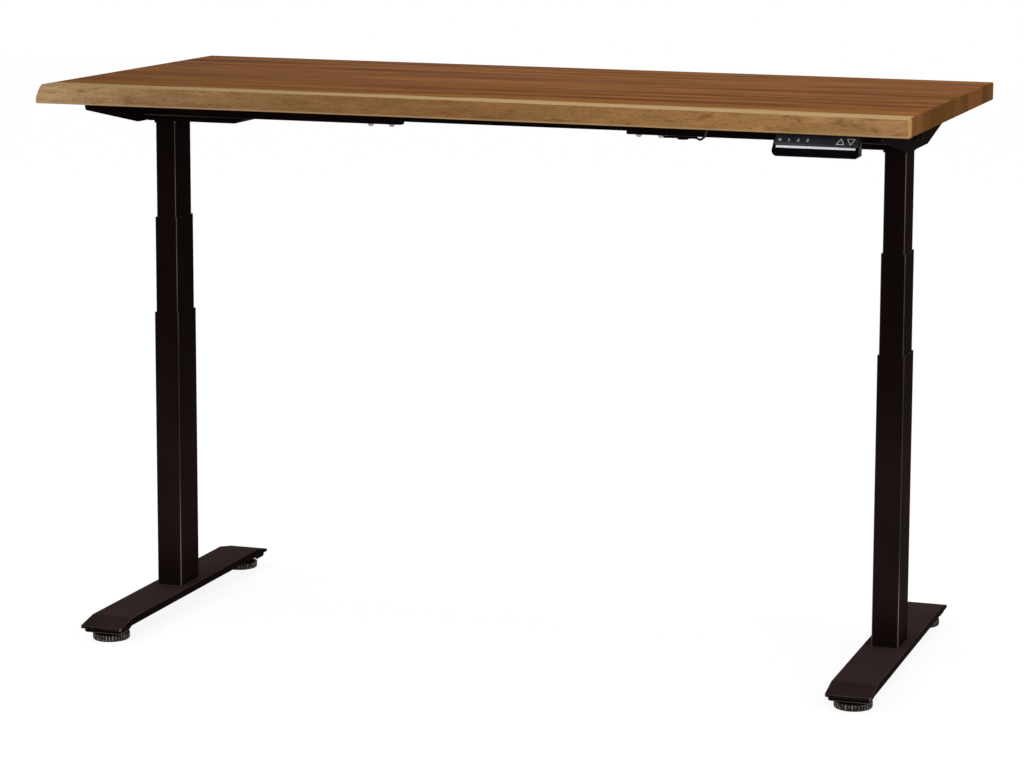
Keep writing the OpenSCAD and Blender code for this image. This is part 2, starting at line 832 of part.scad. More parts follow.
module handset_panel() {
  color(gloss) on_panel() translate([0, 0, -panel_t]) linear_extrude(panel_t) difference() {
    translate([-set_w / 2 + panel_in, 1]) square([set_w - 2 * panel_in, panel_l]);
    key_places();
  }
}

module handset_trim() {
  color(silver) on_panel() translate([-set_w / 2 + trim_in, -trim_w, -trim_t])
    cube([set_w - 2 * trim_in, trim_w, trim_t + 0.2]);
}

module key(x, w, h) {
  color(gloss) on_panel() translate([x, key_row, -key_deep]) {
    linear_extrude(key_deep + key_proud) key_shape(w, h, 0);
    linear_extrude(key_deep - panel_t - air) key_shape(w, h, key_flange);
  }
}

// Cables: a round tube swept along each route, which runs straight through its clips
clip_d = 20;
clip_h = 6;
clip_z = 2.6;
cable_sides = 8;
cable_z = under_z - clip_z;
rail_cable_z = rail_z - clip_z;
set_cable_z = under_z - set_hole_z;
port_cable_z = box_z + port_z;
top_clip = [480, -210, under_z - clip_h];
rail_clip = [320, -rail_y, rail_z - clip_h];
motor_clip = [330, 20, under_z - clip_h];

handset_route = [
  [set_x, -328, set_cable_z], [set_x, -318, set_cable_z], [set_x, -307, set_cable_z],
  [set_x - 8, -286, under_z - 12], [600, -255, under_z - 4], [550, -222, cable_z],
  [512, -210, cable_z], [492, -210, cable_z], [468, -210, cable_z], [448, -210, cable_z],
  [414, -188, under_z - 6], [390, -145, under_z - 22], [372, -98, under_z - 40],
  [360, -71, rail_z - 2], [353, -60, rail_z - 5], [344, -55, rail_cable_z],
  [332, -55, rail_cable_z], [308, -55, rail_cable_z], [296, -55, rail_cable_z],
  [280, -46, rail_z - 3], [262, -30, rail_z + 6], [228, -24, box_z + 12],
  [178, -24, port_cable_z], [152, -24, port_cable_z], [124, -24, port_cable_z]
];
motor_route = [
  [532, 0, head_z + 30], [514, 0, head_z + 30], [480, 3, head_z + 38], [430, 12, cable_z - 2],
  [370, 20, cable_z], [346, 20, cable_z], [314, 20, cable_z], [290, 20, cable_z],
  [235, 23, under_z - 9], [178, 24, port_cable_z], [152, 24, port_cable_z],
  [124, 24, port_cable_z]
];
clips = [top_clip, rail_clip, motor_clip, [-motor_clip[0], motor_clip[1], motor_clip[2]]];

// A smooth curve through the points: k new points for each stretch
function bend(p, q, r, s, t) =
  0.5 * (2 * q + (r - p) * t + (2 * p - 5 * q + 4 * r - s) * t * t
    + (3 * q - p - 3 * r + s) * t * t * t);
function smooth(route, k) =
  let (n = len(route) - 1)
  concat(
    [for (i = [0:n - 1], j = [0:k - 1])
      bend(route[max(i - 1, 0)], route[i], route[i + 1], route[min(i + 2, n)], j / k)],
    [route[n]]
  );
function unit(v) = v / norm(v);
function ring_at(c, along) =
  let (a = unit(cross(along, [0, 0, 1])), b = cross(unit(along), a))
  [for (i = [0:cable_sides - 1]) let (t = 360 * i / cable_sides)
    c + cable_d / 2 * (a * cos(t) + b * sin(t))];

module cable(route, k) {
  path = smooth(route, k);
  n = len(path) - 1;
  points = [for (i = [0:n]) each ring_at(path[i], path[min(i + 1, n)] - path[max(i - 1, 0)])];
  m = cable_sides;
  sides = [for (i = [0:n - 1], j = [0:m - 1])
    let (a = i * m + j, b = i * m + (j + 1) % m) [a, a + m, b + m, b]];
  ends = [[for (j = [0:m - 1]) j], [for (j = [m - 1:-1:0]) n * m + j]];
  polyhedron(points, concat(sides, ends), convexity = 6);
}

module handset_cable() {
  color(black) cable(handset_route, 2);
}

module motor_cables() {
  color(black) {
    cable(motor_route, 1);
    mirror([1, 0, 0]) cable(motor_route, 1);
  }
}

module cable_clips() {
  slot = cable_d * 0.7;
  color(black) for (c = clips) translate(c) difference() {
    cylinder(d = clip_d, h = clip_h);
    translate([-clip_d, 0, clip_h - clip_z]) rotate([0, 90, 0])
      cylinder(d = cable_d + 2 * slide, h = 2 * clip_d);
    translate([-clip_d, -slot / 2, -1]) cube([2 * clip_d, slot, clip_h - clip_z + 1]);
  }
}

desktop();
side_bracket(left);  // left_side_bracket
side_bracket(right);  // right_side_bracket
outer_rail(left, front);  // left_front_rail
outer_rail(left, back);  // left_rear_rail
outer_rail(right, front);  // right_front_rail
outer_rail(right, back);  // right_rear_rail
centre_rail(front);  // front_centre_rail
centre_rail(back);  // rear_centre_rail
frame_bolts();
desktop_screws();
motor_housing(left);  // left_motor_housing
motor_housing(right);  // right_motor_housing
housing_cover(left);  // left_housing_cover
housing_cover(right);  // right_housing_cover
gearbox(left);  // left_gearbox
gearbox(right);  // right_gearbox
motor(left);  // left_motor
motor(right);  // right_motor
upper_tube(left);  // left_upper_tube
upper_tube(right);  // right_upper_tube
middle_tube(left);  // left_middle_tube
middle_tube(right);  // right_middle_tube
lower_tube(left);  // left_lower_tube
lower_tube(right);  // right_lower_tube
lower_guide(left);  // left_lower_guide
lower_guide(right);  // right_lower_guide
middle_guide(left);  // left_middle_guide
middle_guide(right);  // right_middle_guide
spindle(left);  // left_spindle
spindle(right);  // right_spindle
hollow_screw(left);  // left_hollow_screw
hollow_screw(right);  // right_hollow_screw
carrier(left);  // left_carrier
carrier(right);  // right_carrier
nut_pillar(left);  // left_nut_pillar
nut_pillar(right);  // right_nut_pillar
foot(left);  // left_foot
foot(right);  // right_foot
foot_bolts();
glide(left, front);  // left_front_glide
glide(left, back);  // left_rear_glide
glide(right, front);  // right_front_glide
glide(right, back);  // right_rear_glide
control_box_base();
control_box_cover();
control_board();
mains_inlet();
handset_case();
handset_panel();
handset_trim();
key(arrow_x[0], arrow_w, arrow_h);  // up_key
key(arrow_x[1], arrow_w, arrow_h);  // down_key
key(preset_x0, preset_w, preset_h);  // preset_key_1
key(preset_x0 + preset_pitch, preset_w, preset_h);  // preset_key_2
key(preset_x0 + 2 * preset_pitch, preset_w, preset_h);  // preset_key_3
key(preset_x0 + 3 * preset_pitch, preset_w, preset_h);  // preset_key_4
handset_cable();
motor_cables();
cable_clips();
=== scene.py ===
# Height-adjustable desk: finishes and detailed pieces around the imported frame
import json
import math
import bpy
from mathutils import Matrix, Vector, noise


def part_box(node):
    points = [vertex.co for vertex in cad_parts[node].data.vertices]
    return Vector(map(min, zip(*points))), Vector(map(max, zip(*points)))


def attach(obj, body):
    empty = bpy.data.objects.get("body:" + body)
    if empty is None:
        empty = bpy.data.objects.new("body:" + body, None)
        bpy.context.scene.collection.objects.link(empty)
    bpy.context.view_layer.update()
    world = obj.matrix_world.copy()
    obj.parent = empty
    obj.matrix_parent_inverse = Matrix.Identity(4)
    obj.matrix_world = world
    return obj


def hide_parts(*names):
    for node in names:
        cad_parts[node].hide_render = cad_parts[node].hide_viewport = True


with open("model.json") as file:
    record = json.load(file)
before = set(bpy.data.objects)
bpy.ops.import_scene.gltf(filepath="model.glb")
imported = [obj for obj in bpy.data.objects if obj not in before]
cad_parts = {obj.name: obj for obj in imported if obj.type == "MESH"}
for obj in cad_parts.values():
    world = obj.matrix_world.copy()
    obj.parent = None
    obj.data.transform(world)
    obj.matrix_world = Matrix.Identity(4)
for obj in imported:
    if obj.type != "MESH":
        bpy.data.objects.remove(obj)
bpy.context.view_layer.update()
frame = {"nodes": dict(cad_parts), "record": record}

mm = 0.001
rad = math.radians


# Camera, from the photograph: the desk's right angles and symmetry gave its place and lens
camera = {
    "lens": 108.52,
    "shiftX": -0.1348,
    "shiftY": -0.125,
    "place": (1.831, -5.343, 1.520),
    "yaw": 16.54,
    "pitch": 8.13,
    "roll": 0.566,
    "seesTo": 60,
}


def makeCamera():
    data = bpy.data.cameras.new("camera")
    data.lens = camera["lens"]
    data.shift_x = camera["shiftX"]
    data.shift_y = camera["shiftY"]
    data.clip_end = camera["seesTo"]
    obj = bpy.data.objects.new("camera", data)
    turn = (Matrix.Rotation(rad(camera["yaw"]), 4, "Z")
            @ Matrix.Rotation(rad(90 - camera["pitch"]), 4, "X")
            @ Matrix.Rotation(rad(camera["roll"]), 4, "Z"))
    obj.matrix_world = Matrix.Translation(camera["place"]) @ turn
    bpy.context.collection.objects.link(obj)
    bpy.context.scene.camera = obj


makeCamera()
print("camera placed")


# Small helpers for meshes
def meshFrom(name, points, faces):
    mesh = bpy.data.meshes.new(name)
    mesh.from_pydata(points, [], faces)
    mesh.update()
    return mesh


def newPiece(name, mesh, materials, body, node):
    obj = bpy.data.objects.new(name, mesh)
    bpy.context.collection.objects.link(obj)
    for material in materials:
        mesh.materials.append(material)
    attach(obj, body)
    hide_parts(node)


def shadeByAngle(mesh, angle):
    for face in mesh.polygons:
        face.use_smooth = True
    mesh.set_sharp_from_angle(angle=rad(angle))


# Faces that join equal rings of points one after another, with both ends closed
def ringFaces(rings, size, start=0):
    faces = []
    for i in range(rings - 1):
        for k in range(size):
            a, b = start + i * size + k, start + i * size + (k + 1) % size
            faces.append((a, b, b + size, a + size))
    last = start + (rings - 1) * size
    faces.append(tuple(range(start + size - 1, start - 1, -1)))
    faces.append(tuple(range(last, last + size)))
    return faces


# Rounds the corners of an outline: corners is a list of (x, y, radius)
def roundOutline(corners, steps):
    out = []
    count = len(corners)
    for i, (x, y, radius) in enumerate(corners):
        here = Vector((x, y))
        if radius <= 0:
            out.append(here)
            continue
        before = (Vector(corners[i - 1][:2]) - here).normalized()
        after = (Vector(corners[(i + 1) % count][:2]) - here).normalized()
        half = before.angle(after) / 2
        reach = radius / math.tan(half)
        middle = here + (before + after).normalized() * radius / math.sin(half)
        start = here + before * reach - middle
        sweep = start.angle_signed(here + after * reach - middle)
        for k in range(steps + 1):
            turn = -sweep * k / steps
            spot = Vector((start.x * math.cos(turn) - start.y * math.sin(turn),
                           start.x * math.sin(turn) + start.y * math.cos(turn)))
            out.append(middle + spot)
    return out


# The same outline, moved inwards all round
def insetOutline(outline, inset):
    out = []
    for i, spot in enumerate(outline):
        before = (spot - outline[i - 1]).normalized()
        after = (outline[(i + 1) % len(outline)] - spot).normalized()
        outward = Vector((before.y + after.y, -(before.x + after.x))).normalized()
        out.append(spot - outward * inset)
    return out


# Small helpers for materials
def toLinear(hexColor):
    parts = [int(hexColor[i:i + 2], 16) / 255 for i in (1, 3, 5)]
    return [c / 12.92 if c <= 0.04045 else ((c + 0.055) / 1.055) ** 2.4 for c in parts] + [1]


# One node with its settings. Its inputs go by name or number, or as a list in the order of
# its sockets: a MapRange takes a value, the range it comes from and the range it goes to. A
# node given as an input stands for its first output in use, and a hex string for its colour
def addNode(tree, kind, inputs=(), stops=(), **settings):
    node = tree.nodes.new("ShaderNode" + kind)
    for key, value in settings.items():
        setattr(node, key, value)
    for key, value in inputs.items() if isinstance(inputs, dict) else enumerate(inputs):
        if isinstance(value, bpy.types.Node):
            value = next(socket for socket in value.outputs if socket.enabled)
        if isinstance(value, bpy.types.NodeSocket):
            tree.links.new(value, node.inputs[key])
        else:
            node.inputs[key].default_value = toLinear(value) if isinstance(value, str) else value
    if stops:
        marks = node.color_ramp.elements
        while len(marks) < len(stops):
            marks.new(0.5)
        for mark, (place, color) in zip(marks, stops):
            mark.position = place
            mark.color = toLinear(color)
    return node


def emptyTree(owner):
    owner.use_nodes = True
    owner.node_tree.nodes.clear()
    return owner.node_tree


# A new material with its tree, and the object's own coordinates in it
def newMaterial(name):
    material = bpy.data.materials.new(name)
    tree = emptyTree(material)
    return material, tree, addNode(tree, "TexCoord").outputs["Object"]


def finishMaterial(tree, inputs):
    addNode(tree, "OutputMaterial", {"Surface": addNode(tree, "BsdfPrincipled", inputs)})


# Grain drawn out along one way: sizes are the pattern's own, in millimetres along X, Y and Z
def grainOf(tree, place, sizes, detail, roughness=0.6):
    drawn = addNode(tree, "Mapping", {"Vector": place, "Scale": [1 / (size * mm) for size in sizes]})
    drawn = {"Vector": drawn, "Scale": 1, "Detail": detail, "Roughness": roughness}
    return addNode(tree, "TexNoise", drawn)


# Powder-coated steel: baked polyester powder, so a satin skin with a fine orange peel. Bends and
# edges carry a painted highlight, partly where the powder pulls back and wears pale. The low parts
# and the faces that look up are paler, partly floor dust and partly painted light, and the sides just
# above the feet stay darker, a painted contact shade. Ranges that start from a height start from
# metres above the floor
powderCoat = {
    "color": "#100909",
    "lighter": "#1a100f",
    # paler tone low down and on faces that look up: partly floor dust, partly painted light
    "dustAndLight": "#3c2f2d",
    # painted highlight colour for bends and edges, partly pale worn powder
    "edge": "#8a7d7a",
    "peel": {"Scale": 1 / (1.2 * mm), "Detail": 1},
    "cloud": {"Scale": 1 / (111 * mm), "Detail": 3},
    "speck": {"Scale": 1 / (2.4 * mm), "Detail": 2},
    "lowDustAndLight": (0.2, 0.62, 0.23, 0),
    # painted contact shade: the sides just above the feet keep their dark tone
    "baseShade": (0.045, 0.15, 0.15, 1),
    "upwardDustAndSheen": (0.95, 1, 0, 1),
    "patchyDustAndLight": (0.3, 0.7, 0.75, 1),
    "bendRadius": 1.6 * mm,
    "roundedBends": (0.05, 0.07, 1, 0),
    # how much a bend counts between X and Y, between Y and Z, and between Z and X: the painted
    # highlight is dimmer on bends that face up or down
    "turned": (1, 0.82, 0.82),
    "lowBendBoost": (0.08, 0.16, 1.16, 1),
    "bend": (0.16, 0.24, 0, 1),
    "patchyHighlightAndWear": (0.3, 0.7, 0.45, 1),
    "upperHighlightAndWear": (0.55, 0.66, 0.3, 0.7),
    "lowHighlightAndWear": (0.12, 0.28, 1, 0.3),
    "rough": (0.3, 0.7, 0.52, 0.64),
    "bump": {"Strength": 0.35, "Distance": 0.02 * mm},
    "skin": {"IOR": 1.5, "Specular IOR Level": 0.001},
}


def powderCoatedSteel():
    coat = powderCoat
    material, tree, place = newMaterial("powderCoatedSteel")
    peel = addNode(tree, "TexNoise", {"Vector": place, **coat["peel"]})
    cloud = addNode(tree, "TexNoise", {"Vector": place, **coat["cloud"]})
    speck = addNode(tree, "TexNoise", {"Vector": place, **coat["speck"]})
    tone = addNode(tree, "Mix", {0: cloud, 6: coat["color"], 7: coat["lighter"]}, data_type="RGBA")
    facing = addNode(tree, "NewGeometry").outputs["Normal"]
    height = addNode(tree, "SeparateXYZ", [place]).outputs["Z"]
    rise = addNode(tree, "SeparateXYZ", [facing]).outputs["Z"]

    # paler low down and on the faces that look up, partly floor dust and partly painted light; the
    # sides just above the feet stay darker, a painted contact shade
    low = addNode(tree, "MapRange", [height, *coat["lowDustAndLight"]], interpolation_type="SMOOTHSTEP")
    open = addNode(tree, "MapRange", [height, *coat["baseShade"]], interpolation_type="SMOOTHSTEP")
    low = addNode(tree, "Math", [low, open], operation="MULTIPLY")
    upward = addNode(tree, "MapRange", [rise, *coat["upwardDustAndSheen"]])
    dust = addNode(tree, "Math", [low, upward], operation="ADD")
    patchy = addNode(tree, "MapRange", [cloud, *coat["patchyDustAndLight"]])
    dust = addNode(tree, "Math", [dust, patchy], operation="MULTIPLY")
    tone = addNode(tree, "Mix", {0: dust, 6: tone, 7: coat["dustAndLight"]}, data_type="RGBA")

    # a bend faces two ways at once, so the product of its squared normals is large there. The
    # feet's bends are too sharp for that, so rounded normals stand in for theirs
    rounded = addNode(tree, "Bevel", {"Radius": coat["bendRadius"]}, samples=6)
    nearFloor = addNode(tree, "MapRange", [height, *coat["roundedBends"]])
    facing = addNode(tree, "Mix", {0: nearFloor, 4: facing, 5: rounded}, data_type="VECTOR")
    squared = addNode(tree, "VectorMath", [facing, facing], operation="MULTIPLY")
    axes = addNode(tree, "SeparateXYZ", [squared]).outputs
    turned = addNode(tree, "CombineXYZ", [axes["Y"], axes["Z"], axes["X"]])
    turned = addNode(tree, "VectorMath", [turned, coat["turned"]], operation="MULTIPLY")
    bend = addNode(tree, "VectorMath", [squared, turned], operation="DOT_PRODUCT")
    nearFloorBoost = addNode(tree, "MapRange", [height, *coat["lowBendBoost"]])
    bend = addNode(tree, "Math", [bend, nearFloorBoost], operation="MULTIPLY")
    bend = addNode(tree, "MapRange", [bend, *coat["bend"]], interpolation_type="SMOOTHSTEP")

    # the painted highlight on the bends is strongest on the lowest ones and on the upper stages,
    # partly wear where the stages slide and shoes strike
    patchy = addNode(tree, "MapRange", [cloud, *coat["patchyHighlightAndWear"]])
    paleHighlight = addNode(tree, "Math", [bend, patchy], operation="MULTIPLY")
    upperBends = addNode(tree, "MapRange", [height, *coat["upperHighlightAndWear"]])
    lowestBends = addNode(tree, "MapRange", [height, *coat["lowHighlightAndWear"]])
    share = addNode(tree, "Math", [upperBends, lowestBends], operation="MAXIMUM")
    paleHighlight = addNode(tree, "Math", [paleHighlight, share], operation="MULTIPLY")
    tone = addNode(tree, "Mix", {0: paleHighlight, 6: tone, 7: coat["edge"]}, data_type="RGBA")
    gloss = addNode(tree, "MapRange", [speck, *coat["rough"]])
    bump = addNode(tree, "Bump", {"Height": peel, **coat["bump"]})
    finishMaterial(tree, {"Base Color": tone, "Roughness": gloss, "Normal": bump, **coat["skin"]})
    return material


# Zinc-plated steel: bright, with the faint clouding of passivated plating. The bolts on the
# desk's outer sides are painted over with the frame
zincPlate = {
    "color": "#b9b2ad",
    "dull": "#98918c",
    "painted": "#1d1514",
    "paintedOutside": 0.7,
    "paintedAbove": 0.3,
    "cloud": {"Scale": 1 / (3.8 * mm), "Detail": 3},
    "rough": (0, 1, 0.22, 0.42),
    "paintRougher": 0.2,
    "bump": {"Strength": 0.2, "Distance": 0.03 * mm},
    "paintSkin": {"Specular IOR Level": 0.01},
}


def zincPlatedSteel():
    zinc = zincPlate
    material, tree, place = newMaterial("zincPlatedSteel")
    cloud = addNode(tree, "TexNoise", {"Vector": place, **zinc["cloud"]})
    tone = addNode(tree, "Mix", {0: cloud, 6: zinc["color"], 7: zinc["dull"]}, data_type="RGBA")
    gloss = addNode(tree, "MapRange", [cloud, *zinc["rough"]])
    axes = addNode(tree, "SeparateXYZ", [place]).outputs
    outer = addNode(tree, "Math", [axes["X"]], operation="ABSOLUTE")
    outer = addNode(tree, "Math", [outer, zinc["paintedOutside"]], operation="GREATER_THAN")
    high = addNode(tree, "Math", [axes["Z"], zinc["paintedAbove"]], operation="GREATER_THAN")
    painted = addNode(tree, "Math", [outer, high], operation="MULTIPLY")
    color = addNode(tree, "Mix", {0: painted, 6: tone, 7: zinc["painted"]}, data_type="RGBA")
    metal = addNode(tree, "Math", [1, painted], operation="SUBTRACT")
    gloss = addNode(tree, "Math", [painted, zinc["paintRougher"], gloss], operation="MULTIPLY_ADD")
    bump = addNode(tree, "Bump", {"Height": cloud, **zinc["bump"]})
    finishMaterial(tree, {"Base Color": color, "Metallic": metal, "Roughness": gloss, "Normal": bump,
                          **zinc["paintSkin"]})
    return material


# Rolled steel screws, oiled: bright, with a thread that winds around each column's middle.
# The nut pillars round them have no thread outside, so it ends at the screws' own reach
leadScrew = {
    "color": "#a3a2a0",
    "oil": "#6f6a62",
    "pitch": 4 * mm,
    "columnX": 0.704,
    "threadTo": 10.4 * mm,
    "film": {"Scale": 1 / (17 * mm), "Detail": 4},
    "bump": {"Strength": 0.8, "Distance": 1.2 * mm},
    "skin": {"Metallic": 1, "Roughness": 0.28},
}


def rolledLeadScrew():
    screw = leadScrew
    material, tree, place = newMaterial("rolledLeadScrew")
    axes = addNode(tree, "SeparateXYZ", [place]).outputs
    side = addNode(tree, "Math", [axes["X"]], operation="ABSOLUTE")
    side = addNode(tree, "Math", [side, screw["columnX"]], operation="SUBTRACT")
    turn = addNode(tree, "Math", [axes["Y"], side], operation="ARCTAN2")
    turn = addNode(tree, "Math", [turn, 2 * math.pi], operation="DIVIDE")
    rise = addNode(tree, "Math", [axes["Z"], screw["pitch"]], operation="DIVIDE")
    both = addNode(tree, "Math", [turn, rise], operation="ADD")
    tooth = addNode(tree, "Math", [both, 0.5], operation="PINGPONG")
    reach = addNode(tree, "CombineXYZ", [side, axes["Y"]])
    reach = addNode(tree, "VectorMath", [reach], operation="LENGTH")
    cut = addNode(tree, "Math", [reach, screw["threadTo"]], operation="LESS_THAN")
    tooth = addNode(tree, "Math", [tooth, cut], operation="MULTIPLY")
    film = addNode(tree, "TexNoise", {"Vector": place, **screw["film"]})
    color = addNode(tree, "Mix", {0: film, 6: screw["color"], 7: screw["oil"]}, data_type="RGBA")
    bump = addNode(tree, "Bump", {"Height": tooth, **screw["bump"]})
    finishMaterial(tree, {"Base Color": color, "Normal": bump, **screw["skin"]})
    return material


# Moulded plastics: one recipe for the spark-eroded grain of a mould, told apart by name,
# tone, grain size and gloss. The glides' polypropylene also has a painted highlight on its rib crests
moulded = {
    "mouldedNylon": {
        "color": "#1d1d1f", "pale": "#28282a", "grain": 0.9 * mm, "depth": 0.02 * mm,
        "rough": (0.42, 0.55), "skin": {"IOR": 1.53, "Specular IOR Level": 0.2}},
    "texturedAbs": {
        "color": "#0a0a0b", "pale": "#111113", "grain": 0.6 * mm, "depth": 0.03 * mm,
        "rough": (0.45, 0.6), "skin": {"IOR": 1.53, "Specular IOR Level": 0.03}},
    "polishedAbs": {
        "color": "#050506", "pale": "#09090a", "grain": 6 * mm, "depth": 0.01 * mm,
        "rough": (0.24, 0.34), "skin": {"IOR": 1.53, "Specular IOR Level": 0.006}},
    "mouldedPolypropylene": {
        "color": "#0e0a09", "pale": "#231b19", "grain": 1 * mm, "depth": 0.04 * mm,
        "rough": (0.3, 0.42), "skin": {"IOR": 1.49, "Specular IOR Level": 0.08},
        "paleHighlight": "#9a8d86", "highlightPatches": {"Scale": 1 / (5.9 * mm), "Detail": 2},
        "highlightRange": (0.42, 0.62, 0.1, 1)},
    "extrudedPvc": {
        "color": "#070707", "pale": "#0e0e0e", "grain": 2 * mm, "depth": 0.02 * mm,
        "rough": (0.45, 0.6), "skin": {"IOR": 1.53, "Specular IOR Level": 0.01}},
}
mould = {
    "cloud": {"Scale": 1 / (28.5 * mm), "Detail": 4},
    "grainDetail": 2,
    "grainFrom": (0.3, 0.7),
    "bumpStrength": 0.4,
}


def mouldedPlastic(name):
    facts = moulded[name]
    material, tree, place = newMaterial(name)
    grain = {"Vector": place, "Scale": 1 / facts["grain"], "Detail": mould["grainDetail"]}
    grain = addNode(tree, "TexNoise", grain)
    cloud = addNode(tree, "TexNoise", {"Vector": place, **mould["cloud"]})
    color = addNode(tree, "Mix", {0: cloud, 6: facts["color"], 7: facts["pale"]}, data_type="RGBA")
    if "paleHighlight" in facts:
        # painted highlight on the crests of the ribs, in patches
        crest = addNode(tree, "Attribute", attribute_name="crest").outputs["Fac"]
        paleShare = addNode(tree, "TexNoise", {"Vector": place, **facts["highlightPatches"]})
        paleShare = addNode(tree, "MapRange", [paleShare, *facts["highlightRange"]])
        paleShare = addNode(tree, "Math", [crest, paleShare], operation="MULTIPLY")
        color = addNode(tree, "Mix", {0: paleShare, 6: color, 7: facts["paleHighlight"]}, data_type="RGBA")
    gloss = addNode(tree, "MapRange", [grain, *mould["grainFrom"], *facts["rough"]])
    bump = {"Height": grain, "Strength": mould["bumpStrength"], "Distance": facts["depth"]}
    bump = addNode(tree, "Bump", bump)
    finishMaterial(tree, {"Base Color": color, "Roughness": gloss, "Normal": bump, **facts["skin"]})
    return material


# Smoked acrylic panel: a polished, very smooth sheet over black, with a faint long wave
acrylic = {
    "color": "#20232a",
    "edge": "#2b2f38",
    "wave": {"Scale": 1 / (55 * mm), "Detail": 2},
    "dust": {"Scale": 1 / (1.4 * mm), "Detail": 2},
    "rough": (0, 1, 0.06, 0.16),
    "bump": {"Strength": 0.1, "Distance": 0.2 * mm},
    "skin": {"IOR": 1.49, "Specular IOR Level": 0.25},
}


def smokedAcrylic():
    material, tree, place = newMaterial("smokedAcrylic")
    wave = addNode(tree, "TexNoise", {"Vector": place, **acrylic["wave"]})
    dust = addNode(tree, "TexNoise", {"Vector": place, **acrylic["dust"]})
    color = addNode(tree, "Mix", {0: wave, 6: acrylic["color"], 7: acrylic["edge"]}, data_type="RGBA")
    gloss = addNode(tree, "MapRange", [dust, *acrylic["rough"]])
    bump = addNode(tree, "Bump", {"Height": wave, **acrylic["bump"]})
    finishMaterial(tree, {"Base Color": color, "Roughness": gloss, "Normal": bump, **acrylic["skin"]})
    return material


# Metallised trim: plated plastic, brushed lightly along its length
trimStrip = {
    "color": "#c9cbd0",
    "shade": "#9fa2a9",
    "brush": ((25, 0.385, 0.385), 3, 0.5),
    "rough": (0, 1, 0.16, 0.34),
    "bump": {"Strength": 0.15, "Distance": 0.02 * mm},
}


def brushedMetallisedTrim():
    material, tree, place = newMaterial("brushedMetallisedTrim")
    brush = grainOf(tree, place, *trimStrip["brush"])
    color = addNode(tree, "Mix", {0: brush, 6: trimStrip["color"], 7: trimStrip["shade"]}, data_type="RGBA")
    gloss = addNode(tree, "MapRange", [brush, *trimStrip["rough"]])
    bump = addNode(tree, "Bump", {"Height": brush, **trimStrip["bump"]})
    finishMaterial(tree, {"Base Color": color, "Roughness": gloss, "Normal": bump, "Metallic": 1})
    return material


# White pad-printed marks: a dense matt ink with slightly uneven cover
keyInk = {
    "color": "#f2f3f5",
    "thin": "#d9dbe0",
    "cover": {"Scale": 1 / (0.4 * mm), "Detail": 2},
    "skin": {"IOR": 1.5, "Roughness": 0.5},
}


def padPrintedInk():
    material, tree, place = newMaterial("padPrintedInk")
    cover = addNode(tree, "TexNoise", {"Vector": place, **keyInk["cover"]})
    color = addNode(tree, "Mix", {0: cover, 6: keyInk["color"], 7: keyInk["thin"]}, data_type="RGBA")
    finishMaterial(tree, {"Base Color": color, **keyInk["skin"]})
    return material


# Die-cast aluminium: a grey, slightly pitted skin with the swirls of the melt's flow
castSkin = {
    "color": "#8f8f91",
    "dark": "#737376",
    "pits": {"Scale": 1 / (2 * mm), "Detail": 5},
    "flow": {"Scale": 1 / (42 * mm), "Detail": 3, "Distortion": 1.2},
    "rough": (0, 1, 0.42, 0.66),
    "bump": {"Strength": 0.5, "Distance": 0.12 * mm},
}


def dieCastAluminium():
    material, tree, place = newMaterial("dieCastAluminium")
    pits = addNode(tree, "TexNoise", {"Vector": place, **castSkin["pits"]})
    flow = addNode(tree, "TexNoise", {"Vector": place, **castSkin["flow"]})
    color = addNode(tree, "Mix", {0: flow, 6: castSkin["color"], 7: castSkin["dark"]}, data_type="RGBA")
    gloss = addNode(tree, "MapRange", [pits, *castSkin["rough"]])
    bump = addNode(tree, "Bump", {"Height": pits, **castSkin["bump"]})
    finishMaterial(tree, {"Base Color": color, "Roughness": gloss, "Normal": bump, "Metallic": 1})
    return material


# Enamelled motor can: drawn steel, dipped black, with fine drawing lines along it
motorCan = {
    "color": "#242427",
    "pale": "#343438",
    "lines": ((33, 1.1, 1.1), 3, 0.5),
    "bump": {"Strength": 0.3, "Distance": 0.04 * mm},
    "skin": {"IOR": 1.5, "Roughness": 0.32},
}


def enamelledSteelCan():
    material, tree, place = newMaterial("enamelledSteelCan")
    lines = grainOf(tree, place, *motorCan["lines"])
    color = addNode(tree, "Mix", {0: lines, 6: motorCan["color"], 7: motorCan["pale"]}, data_type="RGBA")
    bump = addNode(tree, "Bump", {"Height": lines, **motorCan["bump"]})
    finishMaterial(tree, {"Base Color": color, "Normal": bump, **motorCan["skin"]})
    return material


# Solder mask over copper tracks: a glossy green with tracks that show a shade lighter
boardMask = {
    "tracks": {"Scale": 1, "Mortar Size": 0.6 * mm, "Brick Width": 14 * mm, "Row Height": 2.4 * mm,
               "Color1": "#1b5733", "Color2": "#174d2d", "Mortar": "#2a7346"},
    "shift": 0.35,
    "bump": {"Strength": 0.3, "Distance": 0.05 * mm},
    "skin": {"IOR": 1.55, "Roughness": 0.3},
}


def solderMaskedBoard():
    material, tree, place = newMaterial("solderMaskedBoard")
    tracks = addNode(tree, "TexBrick", {"Vector": place, **boardMask["tracks"]}, offset=boardMask["shift"])
    bump = addNode(tree, "Bump", {"Height": tracks.outputs["Fac"], **boardMask["bump"]})
    finishMaterial(tree, {"Base Color": tracks, "Normal": bump, **boardMask["skin"]})
    return material


